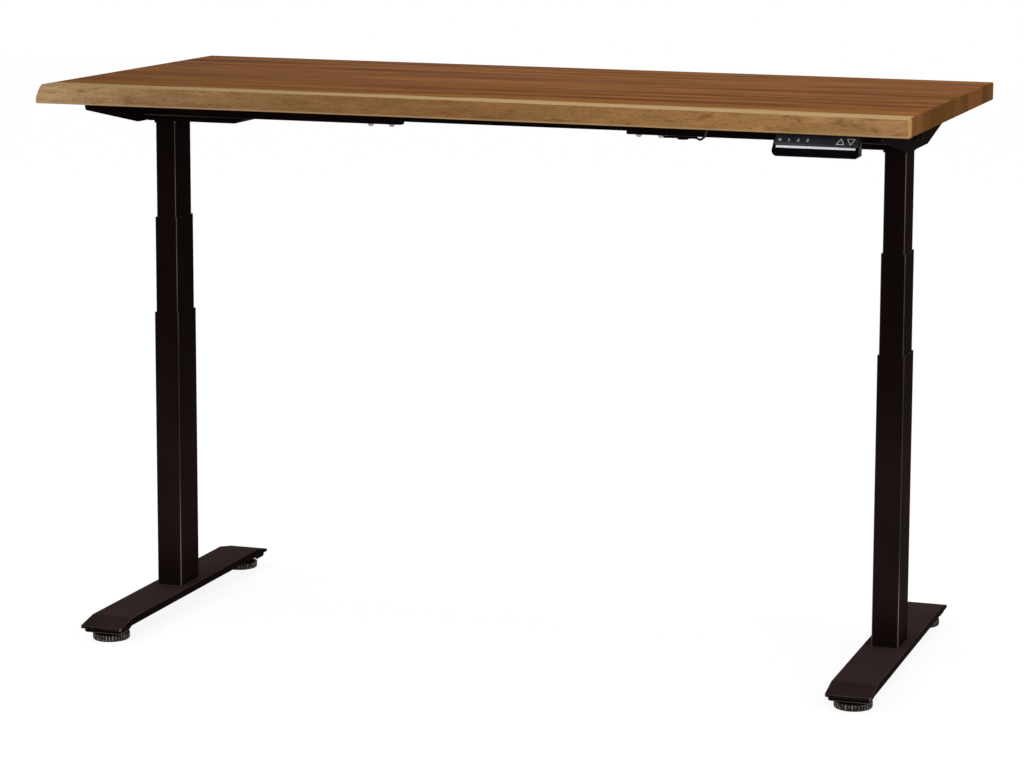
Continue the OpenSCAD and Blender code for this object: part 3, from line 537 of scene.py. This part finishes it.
# Oiled heartwood: flat-sawn boards whose grain runs along the desk. Growth bands, finer
# grain and open pores are three noises drawn out along X; the oil leaves a low sheen
heartwood = {
    "boardWidth": 66 * mm,
    "boardShift": (7, 0, 3),
    "swell": ((667, 250, 250), 2, 0.5),
    "swellBy": (0, 0.085, 0.05),
    "broad": ((625, 41.7, 41.7), 7),
    "fine": ((143, 7.7, 7.7), 6),
    "pores": ((18.2, 0.77, 0.77), 1),
    "stops": [(0.33, "#623a1d"), (0.45, "#784a25"), (0.56, "#87562b"), (0.68, "#9b6434")],
    "fineShade": (0.3, 0.7, 0.74, 1.26),
    "boardShade": (0, 1, 0.95, 1.04),
    "alongLightAndTone": (-0.8, 0.8, 0.86, 1.18),
    "poreShade": (0.62, 0.72, 1, 0.62),
    "poreDepth": 0.6,
    "streak": "#40230f",
    "streakY": -0.078,
    "streakEnds": (0.39, 0.53, 0, 1),
    "streakRange": (0.001, 0.007, 0.9, 0),
    "wander": ((200, 111, 111), 2),
    "wanderBy": 0.03,
    "rim": "#b07c48",
    "rimAway": 12.5 * mm,
    "rimRange": (0.002, 0.008, 0.75, 0),
    "sapLeft": "#9f845a",
    "sapRight": "#bd9f6f",
    "sapAlong": (-0.75, 0.1, 0, 1),
    "sapWander": ((111, 16.7, 16.7), 4),
    "sapWanderBy": 0.045,
    "sapRange": (0.058, 0.08, 1, 0),
    "sapShade": (0.3, 0.7, 0.9, 1.06),
    "rough": (0, 1, 0.74, 0.6),
    "bump": {"Strength": 0.25, "Distance": 0.25 * mm},
    "skin": {"IOR": 1.48, "Specular IOR Level": 0.006},
}


def oiledHeartwood():
    wood = heartwood
    material, tree, place = newMaterial("oiledHeartwood")
    axes = addNode(tree, "SeparateXYZ", [place]).outputs
    edge = addNode(tree, "Attribute", attribute_name="fromEdge").outputs["Fac"]

    # boards: each one has its own tone and its own stretch of the grain
    board = addNode(tree, "Math", [axes["Y"], wood["boardWidth"]], operation="DIVIDE")
    board = addNode(tree, "Math", [board], operation="FLOOR")
    chance = addNode(tree, "TexWhiteNoise", {"W": board}, noise_dimensions="1D").outputs
    moved = [chance["Color"], wood["boardShift"], place]
    moved = addNode(tree, "VectorMath", moved, operation="MULTIPLY_ADD")

    # slow swells bend the grain across the boards
    swell = grainOf(tree, moved, *wood["swell"]).outputs["Color"]
    bent = addNode(tree, "VectorMath", [swell, wood["swellBy"], moved], operation="MULTIPLY_ADD")
    broad = grainOf(tree, bent, *wood["broad"])
    fine = grainOf(tree, bent, *wood["fine"])
    pores = grainOf(tree, bent, *wood["pores"])
    color = addNode(tree, "ValToRGB", [broad], wood["stops"])

    shade = addNode(tree, "MapRange", [fine, *wood["fineShade"]])
    tone = addNode(tree, "MapRange", [chance["Value"], *wood["boardShade"]])
    # lighter towards +X: partly the wood's own tone, partly painted light
    along = addNode(tree, "MapRange", [axes["X"], *wood["alongLightAndTone"]])
    pit = addNode(tree, "MapRange", [pores, *wood["poreShade"]])
    for part in (tone, along, pit):
        shade = addNode(tree, "Math", [shade, part], operation="MULTIPLY")
    color = addNode(tree, "VectorMath", {0: color, "Scale": shade}, operation="SCALE")

    # a dark mineral streak with a pale rim, on the right half
    wander = grainOf(tree, place, *wood["wander"])
    streak = addNode(tree, "Math", [wander, wood["wanderBy"], axes["Y"]], operation="MULTIPLY_ADD")
    middle = wood["streakY"] + wood["wanderBy"] / 2
    streak = addNode(tree, "Math", [streak, middle], operation="SUBTRACT")
    ends = addNode(tree, "MapRange", [axes["X"], *wood["streakEnds"]], interpolation_type="SMOOTHSTEP")
    for away, limits, shadeColor in ((0, "streakRange", "streak"), (wood["rimAway"], "rimRange", "rim")):
        near = addNode(tree, "Math", [streak, away], operation="SUBTRACT") if away else streak
        near = addNode(tree, "Math", [near], operation="ABSOLUTE")
        near = addNode(tree, "MapRange", [near, *wood[limits]], interpolation_type="SMOOTHSTEP")
        near = addNode(tree, "Math", [near, ends], operation="MULTIPLY")
        color = addNode(tree, "Mix", {0: near, 6: color, 7: wood[shadeColor]}, data_type="RGBA")

    # sapwood under the bark side: a paler band that keeps to the live edge
    band = grainOf(tree, place, *wood["sapWander"])
    band = addNode(tree, "Math", [band, wood["sapWanderBy"], edge], operation="MULTIPLY_ADD")
    band = addNode(tree, "MapRange", [band, *wood["sapRange"]], interpolation_type="SMOOTHSTEP")
    sap = addNode(tree, "MapRange", [axes["X"], *wood["sapAlong"]])
    sap = addNode(tree, "Mix", {0: sap, 6: wood["sapLeft"], 7: wood["sapRight"]}, data_type="RGBA")
    shade = addNode(tree, "MapRange", [fine, *wood["sapShade"]])
    sap = addNode(tree, "VectorMath", {0: sap, "Scale": shade}, operation="SCALE")
    color = addNode(tree, "Mix", {0: band, 6: color, 7: sap}, data_type="RGBA")

    height = addNode(tree, "Math", [pit, wood["poreDepth"], fine], operation="MULTIPLY_ADD")
    bump = addNode(tree, "Bump", {"Height": height, **wood["bump"]})
    gloss = addNode(tree, "MapRange", [fine, *wood["rough"]])
    finishMaterial(tree, {"Base Color": color, "Roughness": gloss, "Normal": bump, **wood["skin"]})
    return material


# Barked live edge, brushed and oiled: golden sapwood with darker flecks and stains where the
# inner bark left its mark, and a paler band along the lower arris
liveEdge = {
    "along": (-0.8, 0.8, 0, 1),
    "stops": [(0, "#b39168"), (0.14, "#926f49"), (0.34, "#845f37"), (0.5, "#8b6238"), (0.66, "#946b3e"),
              (0.85, "#a37848"), (1, "#a97f52")],
    "cloud": ((71.4, 16.7, 16.7), 5),
    "fleck": ((6.7, 2.4, 2.4), 3),
    "grain": ((55.5, 3, 3), 4),
    "stain": ((33.3, 9.1, 9.1), 6),
    "cloudShade": (0.3, 0.7, 0.78, 1.18),
    "fleckShade": (0.52, 0.7, 1, 0.62),
    "grainShade": (0.3, 0.7, 0.88, 1.1),
    "stainRange": (0.52, 0.68, 0, 0.6),
    "bark": "#7c4a24",
    "arris": "#c7a577",
    "arrisHeights": (1 * mm, 4.5 * mm),
    "arrisRange": (0.6, 0),
    "fleckDepth": 0.5,
    "rough": (0, 1, 0.66, 0.5),
    "bump": {"Strength": 0.45, "Distance": 0.9 * mm},
    "skin": {"IOR": 1.48, "Specular IOR Level": 0.1},
}


def oiledLiveEdge():
    wood = liveEdge
    material, tree, place = newMaterial("oiledLiveEdge")
    axes = addNode(tree, "SeparateXYZ", [place]).outputs
    along = addNode(tree, "MapRange", [axes["X"], *wood["along"]])
    color = addNode(tree, "ValToRGB", [along], wood["stops"])
    patterns = (grainOf(tree, place, *wood[key]) for key in ("cloud", "fleck", "grain", "stain"))
    cloud, fleck, grain, stain = patterns
    stain = addNode(tree, "MapRange", [stain, *wood["stainRange"]], interpolation_type="SMOOTHSTEP")
    color = addNode(tree, "Mix", {0: stain, 6: color, 7: wood["bark"]}, data_type="RGBA")
    shade = addNode(tree, "MapRange", [cloud, *wood["cloudShade"]])
    for pattern, limits in ((fleck, "fleckShade"), (grain, "grainShade")):
        part = addNode(tree, "MapRange", [pattern, *wood[limits]])
        shade = addNode(tree, "Math", [shade, part], operation="MULTIPLY")
    color = addNode(tree, "VectorMath", {0: color, "Scale": shade}, operation="SCALE")
    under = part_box("desktop")[0][2]
    heights = [under + rise for rise in wood["arrisHeights"]]
    paleShare = [axes["Z"], *heights, *wood["arrisRange"]]
    paleShare = addNode(tree, "MapRange", paleShare, interpolation_type="SMOOTHSTEP")
    color = addNode(tree, "Mix", {0: paleShare, 6: color, 7: wood["arris"]}, data_type="RGBA")
    height = addNode(tree, "Math", [fleck, wood["fleckDepth"], cloud], operation="MULTIPLY_ADD")
    bump = addNode(tree, "Bump", {"Height": height, **wood["bump"]})
    gloss = addNode(tree, "MapRange", [cloud, *wood["rough"]])
    finishMaterial(tree, {"Base Color": color, "Roughness": gloss, "Normal": bump, **wood["skin"]})
    return material


# Sawn and sanded end grain: darker, with each board's growth rings curving about a pith
# below the top, and a pale strip of sapwood at the live edge
endGrain = {
    "light": "#855425",
    "dark": "#5f3815",
    "olive": "#6f5526",
    "tan": "#805932",
    "sap": "#b89558",
    "pithDepth": 0.07,
    "ringWidth": 5.5 * mm,
    "ringWander": {"Scale": 1 / (22.2 * mm), "Detail": 3},
    "ringWanderBy": 0.006,
    "pore": {"Scale": 1 / (1.1 * mm), "Detail": 2},
    "poreShade": (0.3, 0.7, 0.82, 1.12),
    "boardShade": (0, 1, 0.74, 1.22),
    "streaks": ((1000, 8.3, 125), 3),
    "oliveRange": (0.5, 0.66, 0, 0.7),
    "streakShade": (0.3, 0.7, 1.22, 0.8),
    "tanRange": (0.06, 0.16, 0.6, 0),
    "sapWanderBy": 0.012,
    "sapRange": (0.018, 0.03, 1, 0),
    "bump": {"Strength": 0.3, "Distance": 0.15 * mm},
    "skin": {"IOR": 1.48, "Specular IOR Level": 0.008, "Roughness": 0.7},
}


def sandedEndGrain():
    wood = endGrain
    material, tree, place = newMaterial("sandedEndGrain")
    axes = addNode(tree, "SeparateXYZ", [place]).outputs
    edge = addNode(tree, "Attribute", attribute_name="fromEdge").outputs["Fac"]

    # rings about each board's own pith
    board = addNode(tree, "Math", [axes["Y"], heartwood["boardWidth"]], operation="DIVIDE")
    number = addNode(tree, "Math", [board], operation="FLOOR")
    chance = addNode(tree, "TexWhiteNoise", {"W": number}, noise_dimensions="1D").outputs["Value"]
    across = addNode(tree, "Math", [board, number], operation="SUBTRACT")
    across = addNode(tree, "Math", [across, chance], operation="SUBTRACT")
    across = addNode(tree, "Math", [across, heartwood["boardWidth"]], operation="MULTIPLY")
    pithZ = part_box("desktop")[0][2] - wood["pithDepth"]
    above = addNode(tree, "Math", [axes["Z"], pithZ], operation="SUBTRACT")
    reach = addNode(tree, "CombineXYZ", [across, above])
    reach = addNode(tree, "VectorMath", [reach], operation="LENGTH")
    wander = addNode(tree, "TexNoise", {"Vector": place, **wood["ringWander"]})
    ring = addNode(tree, "Math", [wander, wood["ringWanderBy"], reach], operation="MULTIPLY_ADD")
    ring = addNode(tree, "Math", [ring, wood["ringWidth"]], operation="DIVIDE")
    ring = addNode(tree, "Math", [ring], operation="FRACT")
    color = addNode(tree, "Mix", {0: ring, 6: wood["light"], 7: wood["dark"]}, data_type="RGBA")

    # the boards differ, and each has upright streaks from the saw and the oil
    pore = addNode(tree, "TexNoise", {"Vector": place, **wood["pore"]})
    shade = addNode(tree, "MapRange", [pore, *wood["poreShade"]])
    tone = addNode(tree, "MapRange", [chance, *wood["boardShade"]])
    streaks = grainOf(tree, place, *wood["streaks"])
    olive = addNode(tree, "MapRange", [streaks, *wood["oliveRange"]], interpolation_type="SMOOTHSTEP")
    color = addNode(tree, "Mix", {0: olive, 6: color, 7: wood["olive"]}, data_type="RGBA")
    upright = addNode(tree, "MapRange", [streaks, *wood["streakShade"]])
    tone = addNode(tree, "Math", [tone, upright], operation="MULTIPLY")
    near = addNode(tree, "MapRange", [edge, *wood["tanRange"]], interpolation_type="SMOOTHSTEP")
    color = addNode(tree, "Mix", {0: near, 6: color, 7: wood["tan"]}, data_type="RGBA")
    shade = addNode(tree, "Math", [shade, tone], operation="MULTIPLY")
    color = addNode(tree, "VectorMath", {0: color, "Scale": shade}, operation="SCALE")

    band = addNode(tree, "Math", [wander, wood["sapWanderBy"], edge], operation="MULTIPLY_ADD")
    band = addNode(tree, "MapRange", [band, *wood["sapRange"]], interpolation_type="SMOOTHSTEP")
    color = addNode(tree, "Mix", {0: band, 6: color, 7: wood["sap"]}, data_type="RGBA")
    bump = addNode(tree, "Bump", {"Height": pore, **wood["bump"]})
    finishMaterial(tree, {"Base Color": color, "Normal": bump, **wood["skin"]})
    return material


# A pale studio: a white floor and surround, and three soft lamps. Each lamp has its place,
# its width and depth, its power and the point it shines at
studio = {
    "lamps": {
        "key": ((-2.6, -3.6, 3.2), (2.4, 1.8), 46, (0, 0, 0.7)),
        "fill": ((3.6, -3.0, 2.2), (2.0, 2.0), 50, (0, 0, 0.7)),
        "top": ((0, 0.3, 4.0), (3.0, 2.0), 22, (0, 0, 1.0)),
    },
    "worldLight": 0.55,
    "floorWhite": 0.76,
    "floorGlow": 1.16,
    "floorColor": "#efefef",
    "floorReach": 12,
    "white": (1, 1, 1, 1),
}


# 1 for a ray that looks at the studio, straight or by a reflection, and 0 for its light
def seenDirectly(tree):
    path = addNode(tree, "LightPath").outputs
    seen = addNode(tree, "Math", [path["Is Camera Ray"], path["Is Transmission Ray"]], operation="MAXIMUM")
    return addNode(tree, "Math", [seen, path["Is Glossy Ray"]], operation="MAXIMUM")


def lightStudio():
    bpy.context.scene.view_settings.view_transform = "Standard"
    world = bpy.data.worlds.new("studio")
    bpy.context.scene.world = world
    tree = emptyTree(world)
    strength = addNode(tree, "MapRange", [seenDirectly(tree), 0, 1, studio["worldLight"], 1])
    background = addNode(tree, "Background", {"Color": studio["white"], "Strength": strength})
    addNode(tree, "OutputWorld", {"Surface": background})

    for name, (place, size, power, target) in studio["lamps"].items():
        data = bpy.data.lights.new(name, "AREA")
        data.shape = "RECTANGLE"
        data.size, data.size_y = size
        data.energy = power
        lamp = bpy.data.objects.new(name, data)
        lamp.location = place
        lamp.rotation_euler = (Vector(target) - Vector(place)).to_track_quat("-Z", "Y").to_euler()
        bpy.context.collection.objects.link(lamp)

    material = bpy.data.materials.new("paleFloor")
    tree = emptyTree(material)
    share = addNode(tree, "Math", [seenDirectly(tree), studio["floorWhite"]], operation="MULTIPLY")
    paint = addNode(tree, "BsdfDiffuse", {"Color": studio["floorColor"]})
    glow = addNode(tree, "Emission", {"Color": studio["white"], "Strength": studio["floorGlow"]})
    addNode(tree, "OutputMaterial", {"Surface": addNode(tree, "MixShader", [share, paint, glow])})
    reach = studio["floorReach"]
    corners = [(-reach, -reach, 0), (reach, -reach, 0), (reach, reach, 0), (-reach, reach, 0)]
    mesh = meshFrom("floor", corners, [(0, 1, 2, 3)])
    mesh.materials.append(material)
    floor = bpy.data.objects.new("floor", mesh)
    bpy.context.collection.objects.link(floor)


lightStudio()
print("studio lit")

finishes = {
    "frame_paint": powderCoatedSteel(),
    "zinc_bolt": zincPlatedSteel(),
    "bright_steel": rolledLeadScrew(),
    "nylon_guide": mouldedPlastic("mouldedNylon"),
    "gear_case": dieCastAluminium(),
    "motor_can": enamelledSteelCan(),
    "black_plastic": mouldedPlastic("texturedAbs"),
    "gloss_panel": smokedAcrylic(),
    "silver_trim": brushedMetallisedTrim(),
    "glide_plastic": mouldedPlastic("mouldedPolypropylene"),
    "board_green": solderMaskedBoard(),
    "cable_skin": mouldedPlastic("extrudedPvc"),
}
polishedAbs = mouldedPlastic("polishedAbs")
ink = padPrintedInk()
woodFinishes = [oiledHeartwood(), oiledLiveEdge(), sandedEndGrain()]
print("finishes mixed")


# Desktop: one slab with a live front edge, swept along X. Its arrises are eased, and the
# bark side ripples a little
slab = {
    "frontSkew": 36 * mm,
    "frontBow": 16 * mm,
    "wane": 20 * mm,
    # the live edge's bulge: the angle whose sine it follows down the edge
    "waneTurn": rad(105),
    "stations": 200,
    "rows": (0.0, 0.46, 0.58, 0.7, 0.8, 1.0),
    "arcSteps": 5,
    # the top's front arris is widest at the left end, and usual from this place on
    "topArris": (14 * mm, 5 * mm),
    "roundTo": -0.45,
    "roundGrowth": 1.5,
    "lowArris": 3.5 * mm,
    "backArris": 2 * mm,
    "endArris": 2 * mm,
    "endAngles": (90, 60, 30),
    "ripple": 1.3 * mm,
    "rippleFade": 30 * mm,
    # each ripple: turns per metre along X, change down the edge, its own part of the noise,
    # and its share of the depth
    "ripples": {
        "long": (4.5, 0, (3.1, 0), 0.9),
        "short": (13, 2.2, (0, 7.7), 0.55),
        "fine": (42, 5, (0, 1.3), 0.35),
    },
    "smoothTo": 40,
}


def rippleAt(x, t, name):
    perMetre, down, (shift, layer), share = slab["ripples"][name]
    return noise.noise(Vector((x * perMetre, t * down + shift, layer))) * share


# The slab's outline at one place along X, and where its upper front edge is there
def slabOutline(x, low, high):
    half, back = high[0], high[1]
    under, top = low[2], high[2]
    u = max(-1, min(1, x / half))
    bow = slab["frontBow"] * (1 - u * u)
    upper = -back + slab["frontSkew"] * (1 - u) / 2 + bow
    lower = -back + (slab["frontSkew"] - slab["wane"]) * (1 - u) / 2 + bow
    paleHighlight = max(0, min(1, (slab["roundTo"] - x) / (slab["roundTo"] + half)))
    widest, usual = slab["topArris"]
    corners = [(back, under, slab["backArris"]), (back, top, slab["backArris"])]
    fade = min(1, (half - abs(x)) / slab["rippleFade"])
    for i, t in enumerate(slab["rows"]):
        y = upper + (lower - upper) * math.sin(slab["waneTurn"] * t)
        slow = rippleAt(x, t, "long") + rippleAt(x, t, "short")
        y += slab["ripple"] * (slow + rippleAt(x, t, "fine") * math.sin(math.pi * t)) * fade
        radius = usual + (widest - usual) * paleHighlight ** slab["roundGrowth"] if i == 0 else 0
        corners.append((y, top - t * (top - under), slab["lowArris"] if t == 1 else radius))
    return upper, roundOutline(corners, slab["arcSteps"])


def makeDesktop():
    low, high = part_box("desktop")
    half, ease, count = high[0], slab["endArris"], slab["stations"]
    eased = [(ease * (1 - math.sin(rad(a))), ease * (1 - math.cos(rad(a)))) for a in slab["endAngles"]]
    stations = [(-half + away, inset) for away, inset in eased]
    stations += [((half - ease) * (2 * i / count - 1), 0) for i in range(count + 1)]
    stations += [(half - away, inset) for away, inset in reversed(eased)]
    points, fromEdge = [], []
    for x, inset in stations:
        upper, ring = slabOutline(x, low, high)
        points += [(x, spot.x, spot.y) for spot in insetOutline(ring, inset)]
        fromEdge += [spot.x - upper for spot in ring]
    size = len(ring)
    mesh = meshFrom("desktopSlab", points, ringFaces(len(stations), size))
    mesh.attributes.new("fromEdge", "FLOAT", "POINT").data.foreach_set("value", fromEdge)

    # the eased ends are end grain. The live edge starts after the two back corners and half
    # the top's arris, and stops at the foot of the lower one
    eases = len(eased)
    cornerRows = slab["arcSteps"] + 1
    frontFrom = 2 * cornerRows + cornerRows // 2
    frontTo = size - 2
    for face in mesh.polygons:
        station, row = divmod(face.index, size)
        if station < eases or station >= len(stations) - 1 - eases:
            face.material_index = 2
        elif frontFrom <= row < frontTo:
            face.material_index = 1
    shadeByAngle(mesh, slab["smoothTo"])
    newPiece("desktop_slab", mesh, woodFinishes, "top", "desktop")


makeDesktop()
print("desktop made")


# Levelling glides: a moulded foot with a ribbed rim to turn it by. Each row has its height
# and radius in millimetres, and its share of the ribs' depth
glide = {
    "ribs": 36,
    "ribDepth": 1.1 * mm,
    "perRib": 8,
    "smoothTo": 32,
    "rows": [(0.0, 31.2, 0), (0.35, 32.6, 0), (1.6, 33.6, 0.4), (2.4, 34, 1), (6.0, 34, 1), (10.6, 34, 1),
             (11.6, 33.7, 0.6), (12.3, 32.9, 0), (12.5, 31.6, 0), (13.0, 28.6, 0), (17.0, 20.4, 0),
             (20.2, 13.2, 0), (21.2, 10.6, 0), (21.9, 9.0, 0), (26.7, 8.0, 0)],
}


def makeGlide(name):
    low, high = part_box(name)
    middleX, middleY = (low[0] + high[0]) / 2, (low[1] + high[1]) / 2
    around = glide["ribs"] * glide["perRib"]
    points, crests = [], []
    for z, radius, ribbed in glide["rows"]:
        for k in range(around):
            turn = 2 * math.pi * k / around
            wave = 0.5 - 0.5 * math.cos(turn * glide["ribs"])
            reach = radius * mm - glide["ribDepth"] * ribbed * wave ** 2
            crests.append(ribbed * (1 - wave) ** 2)
            x, y = middleX + reach * math.cos(turn), middleY + reach * math.sin(turn)
            points.append((x, y, low[2] + z * mm))
    mesh = meshFrom(name + "Foot", points, ringFaces(len(glide["rows"]), around))
    mesh.attributes.new("crest", "FLOAT", "POINT").data.foreach_set("value", crests)
    shadeByAngle(mesh, glide["smoothTo"])
    newPiece(name + "_foot", mesh, [finishes["glide_plastic"]], name, name)


for end in ("left_front", "left_rear", "right_front", "right_rear"):
    makeGlide(end + "_glide")
print("glides made")


# Keys of the handset: each is a low acrylic cap with its mark printed on it. The panel's
# middle is in metres, and the keys' sizes are in millimetres along and up the panel
handset = {
    "middle": (0.641, -0.3755, 0.9775),
    "slope": rad(45),
    "row": 12.0,
    "proud": 0.5,
    "deep": 3.4,
    "corner": 2.0,
    "arcSteps": 5,
    "ease": 0.35,
    "easeArc": 0.3,
    "inkHeight": 0.05,
    "inkSunk": 0.02,
    "arrowKey": {"size": (15.4, 14.4), "markSize": (13.2, 12.4), "stroke": 0.78},
    "presetKey": {"size": (11.0, 9.0), "markSize": (2.5, 4.4), "stroke": 0.75},
    "upX": 40.3,
    "downX": 57.6,
    "firstPresetX": -63.5,
    "presetStep": 15.8,
    "smoothTo": 40,
}


# The panel's own frame, in millimetres: x along the desk, y up the slope, z out of it
def onPanel(x, y, z):
    turn = handset["slope"]
    x0, y0, z0 = handset["middle"]
    return Vector((x0 + x * mm,
                   y0 + (y * math.cos(turn) - z * math.sin(turn)) * mm,
                   z0 + (y * math.sin(turn) + z * math.cos(turn)) * mm))


# A prism on the panel from an outline in millimetres, with an eased upper edge
def panelPrism(outline, low, high, ease, points, faces):
    rings = [(low, 0), (high, 0)]
    if ease:
        midway = ease * handset["easeArc"]
        rings = [(low, 0), (high - ease, 0), (high - midway, midway), (high, ease)]
    faces += ringFaces(len(rings), len(outline), len(points))
    for z, inset in rings:
        points += [onPanel(spot.x, spot.y, z) for spot in insetOutline(outline, inset)]


def strokeOutline(a, b, width):
    a, b = Vector(a), Vector(b)
    along = (b - a).normalized() * width / 2
    side = Vector((-along.y, along.x))
    return [a - along - side, b + along - side, b + along + side, a - along + side]


# Strokes of each mark, as shares of its width and height around its middle
markStrokes = {
    "up": [((-0.5, -0.5), (0.5, -0.5)), ((0.5, -0.5), (0, 0.5)), ((0, 0.5), (-0.5, -0.5))],
    "down": [((-0.5, 0.5), (0.5, 0.5)), ((0.5, 0.5), (0, -0.5)), ((0, -0.5), (-0.5, 0.5))],
    "dots": [((-0.75, 0), (-0.35, 0)), ((0.35, 0), (0.75, 0)),
             ((-0.75, 0.35), (0.75, 0.35)), ((-0.75, -0.35), (0.75, -0.35))],
    "1": [((0, -0.5), (0, 0.5)), ((0, 0.5), (-0.4, 0.25))],
    "2": [((-0.5, 0.35), (-0.2, 0.5)), ((-0.2, 0.5), (0.4, 0.45)), ((0.4, 0.45), (0.4, 0.1)),
          ((0.4, 0.1), (-0.5, -0.5)), ((-0.5, -0.5), (0.5, -0.5))],
    "3": [((-0.5, 0.5), (0.5, 0.5)), ((0.5, 0.5), (0, 0.08)), ((0, 0.08), (0.45, -0.12)),
          ((0.45, -0.12), (0.3, -0.5)), ((0.3, -0.5), (-0.5, -0.45))],
}


def makeKey(name, x, mark, size, markSize, stroke):
    w, h = size[0] / 2, size[1] / 2
    row, proud = handset["row"], handset["proud"]
    sides = ((-1, -1), (1, -1), (1, 1), (-1, 1))
    corners = [(x + sx * w, row + sy * h, handset["corner"]) for sx, sy in sides]
    points, faces = [], []
    outline = roundOutline(corners, handset["arcSteps"])
    panelPrism(outline, -handset["deep"], proud, handset["ease"], points, faces)
    capFaces = len(faces)
    for a, b in markStrokes[mark]:
        ends = [(x + p[0] * markSize[0], row + p[1] * markSize[1]) for p in (a, b)]
        stem = strokeOutline(*ends, stroke)
        panelPrism(stem, proud - handset["inkSunk"], proud + handset["inkHeight"], 0, points, faces)
    mesh = meshFrom(name + "Cap", points, faces)
    for face in mesh.polygons:
        face.material_index = 0 if face.index < capFaces else 1
    shadeByAngle(mesh, handset["smoothTo"])
    newPiece(name + "_cap", mesh, [finishes["gloss_panel"], ink], name, name)


makeKey("up_key", handset["upX"], "up", **handset["arrowKey"])
makeKey("down_key", handset["downX"], "down", **handset["arrowKey"])
for i, mark in enumerate(("dots", "1", "2", "3")):
    keyX = handset["firstPresetX"] + handset["presetStep"] * i
    makeKey("preset_key_%d" % (i + 1), keyX, mark, **handset["presetKey"])
print("keys made")


# Cables, along the routes that their clips hold. The points are in millimetres
cables = {
    "radius": 2 * mm,
    "sides": 14,
    "fine": 6,
    "smoothTo": 40,
    "handset": [
        (641, -328, 977), (641, -318, 977), (641, -307, 977), (633, -286, 985), (600, -255, 993),
        (550, -222, 994.4), (512, -210, 994.4), (492, -210, 994.4), (468, -210, 994.4), (448, -210, 994.4),
        (414, -188, 991), (390, -145, 975), (372, -98, 957), (360, -71, 950), (353, -60, 947),
        (344, -55, 949.4), (332, -55, 949.4), (308, -55, 949.4), (296, -55, 949.4), (280, -46, 949),
        (262, -30, 958), (228, -24, 973), (178, -24, 976), (152, -24, 976), (124, -24, 976)],
    "motor": [
        (532, 0, 970), (514, 0, 970), (480, 3, 978), (430, 12, 992.4), (370, 20, 994.4), (346, 20, 994.4),
        (314, 20, 994.4), (290, 20, 994.4), (235, 23, 988), (178, 24, 976), (152, 24, 976), (124, 24, 976)],
}


# A round tube along one smooth curve through a route's points
def sweepCable(route, side, points, faces):
    spots = [Vector((x * mm * side, y * mm, z * mm)) for x, y, z in route]
    path = []
    last = len(spots) - 1
    for i in range(last):
        p, q, r, s = (spots[min(max(i + d, 0), last)] for d in (-1, 0, 1, 2))
        for j in range(cables["fine"]):
            t = j / cables["fine"]
            path.append(0.5 * (2 * q + (r - p) * t + (2 * p - 5 * q + 4 * r - s) * t * t
                               + (3 * q - p - 3 * r + s) * t ** 3))
    path.append(spots[last])
    faces += ringFaces(len(path), cables["sides"], len(points))
    along = (path[1] - path[0]).normalized()
    across = along.cross(Vector((0, 0, 1))).normalized()
    for i, place in enumerate(path):
        along = (path[min(i + 1, len(path) - 1)] - path[max(i - 1, 0)]).normalized()
        across = (across - along * across.dot(along)).normalized()
        up = along.cross(across)
        for k in range(cables["sides"]):
            turn = 2 * math.pi * k / cables["sides"]
            points.append(place + (across * math.cos(turn) + up * math.sin(turn)) * cables["radius"])


def makeCable(name, meshName, node, route, sides):
    points, faces = [], []
    for side in sides:
        sweepCable(route, side, points, faces)
    mesh = meshFrom(meshName, points, faces)
    shadeByAngle(mesh, cables["smoothTo"])
    newPiece(name, mesh, [finishes["cable_skin"]], "top", node)


makeCable("handset_lead", "handsetLead", "handset_cable", cables["handset"], (1,))
makeCable("motor_leads", "motorLeads", "motor_cables", cables["motor"], (1, -1))
print("cables laid")


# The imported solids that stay: their edges are eased as the real ones are, by pressing,
# rolling or moulding, and each takes its finish. A node takes the widest easing, in
# millimetres, whose name its own name ends with
easing = {
    "lower_tube": 0.5, "middle_tube": 0.5, "upper_tube": 0.5, "foot": 0.3, "motor_housing": 1.0,
    "housing_cover": 0.8, "side_bracket": 0.7, "_rail": 0.5, "guide": 0.4, "gearbox": 1.2, "motor": 0.8,
    "frame_bolts": 0.25, "foot_bolts": 0.3, "desktop_screws": 0.2, "control_box_cover": 1.2,
    "control_box_base": 0.6, "mains_inlet": 0.5, "handset_case": 1.0, "handset_panel": 0.3,
    "handset_trim": 0.3, "cable_clips": 0.6, "carrier": 0.4, "nut_pillar": 0.4, "hollow_screw": 0.3,
    "spindle": 0.4, "control_board": 0.2,
}
easedEdges = {"weld": 0.01 * mm, "segments": 2, "fromAngle": rad(35)}


def dressFrame():
    for part in frame["record"]["subparts"]:
        name = part["node"]
        obj = frame["nodes"][name]
        material = finishes.get(part["material_slot"], woodFinishes[0])
        if name == "handset_case":
            material = polishedAbs
        obj.data.materials.clear()
        obj.data.materials.append(material)
        width = max((v for k, v in easing.items() if name.endswith(k)), default=0)
        if not width:
            continue
        weld = obj.modifiers.new("weld", "WELD")
        weld.merge_threshold = easedEdges["weld"]
        bevel = obj.modifiers.new("easedEdges", "BEVEL")
        bevel.width = width * mm
        bevel.segments = easedEdges["segments"]
        bevel.limit_method = "ANGLE"
        bevel.angle_limit = easedEdges["fromAngle"]
        bevel.harden_normals = True
        # the clamp would take all easing off the feet, whose corners have very short edges.
        # Without it nothing strays at their width, but wider ones throw points sideways
        bevel.use_clamp_overlap = not name.endswith("foot")


dressFrame()
print("frame dressed")
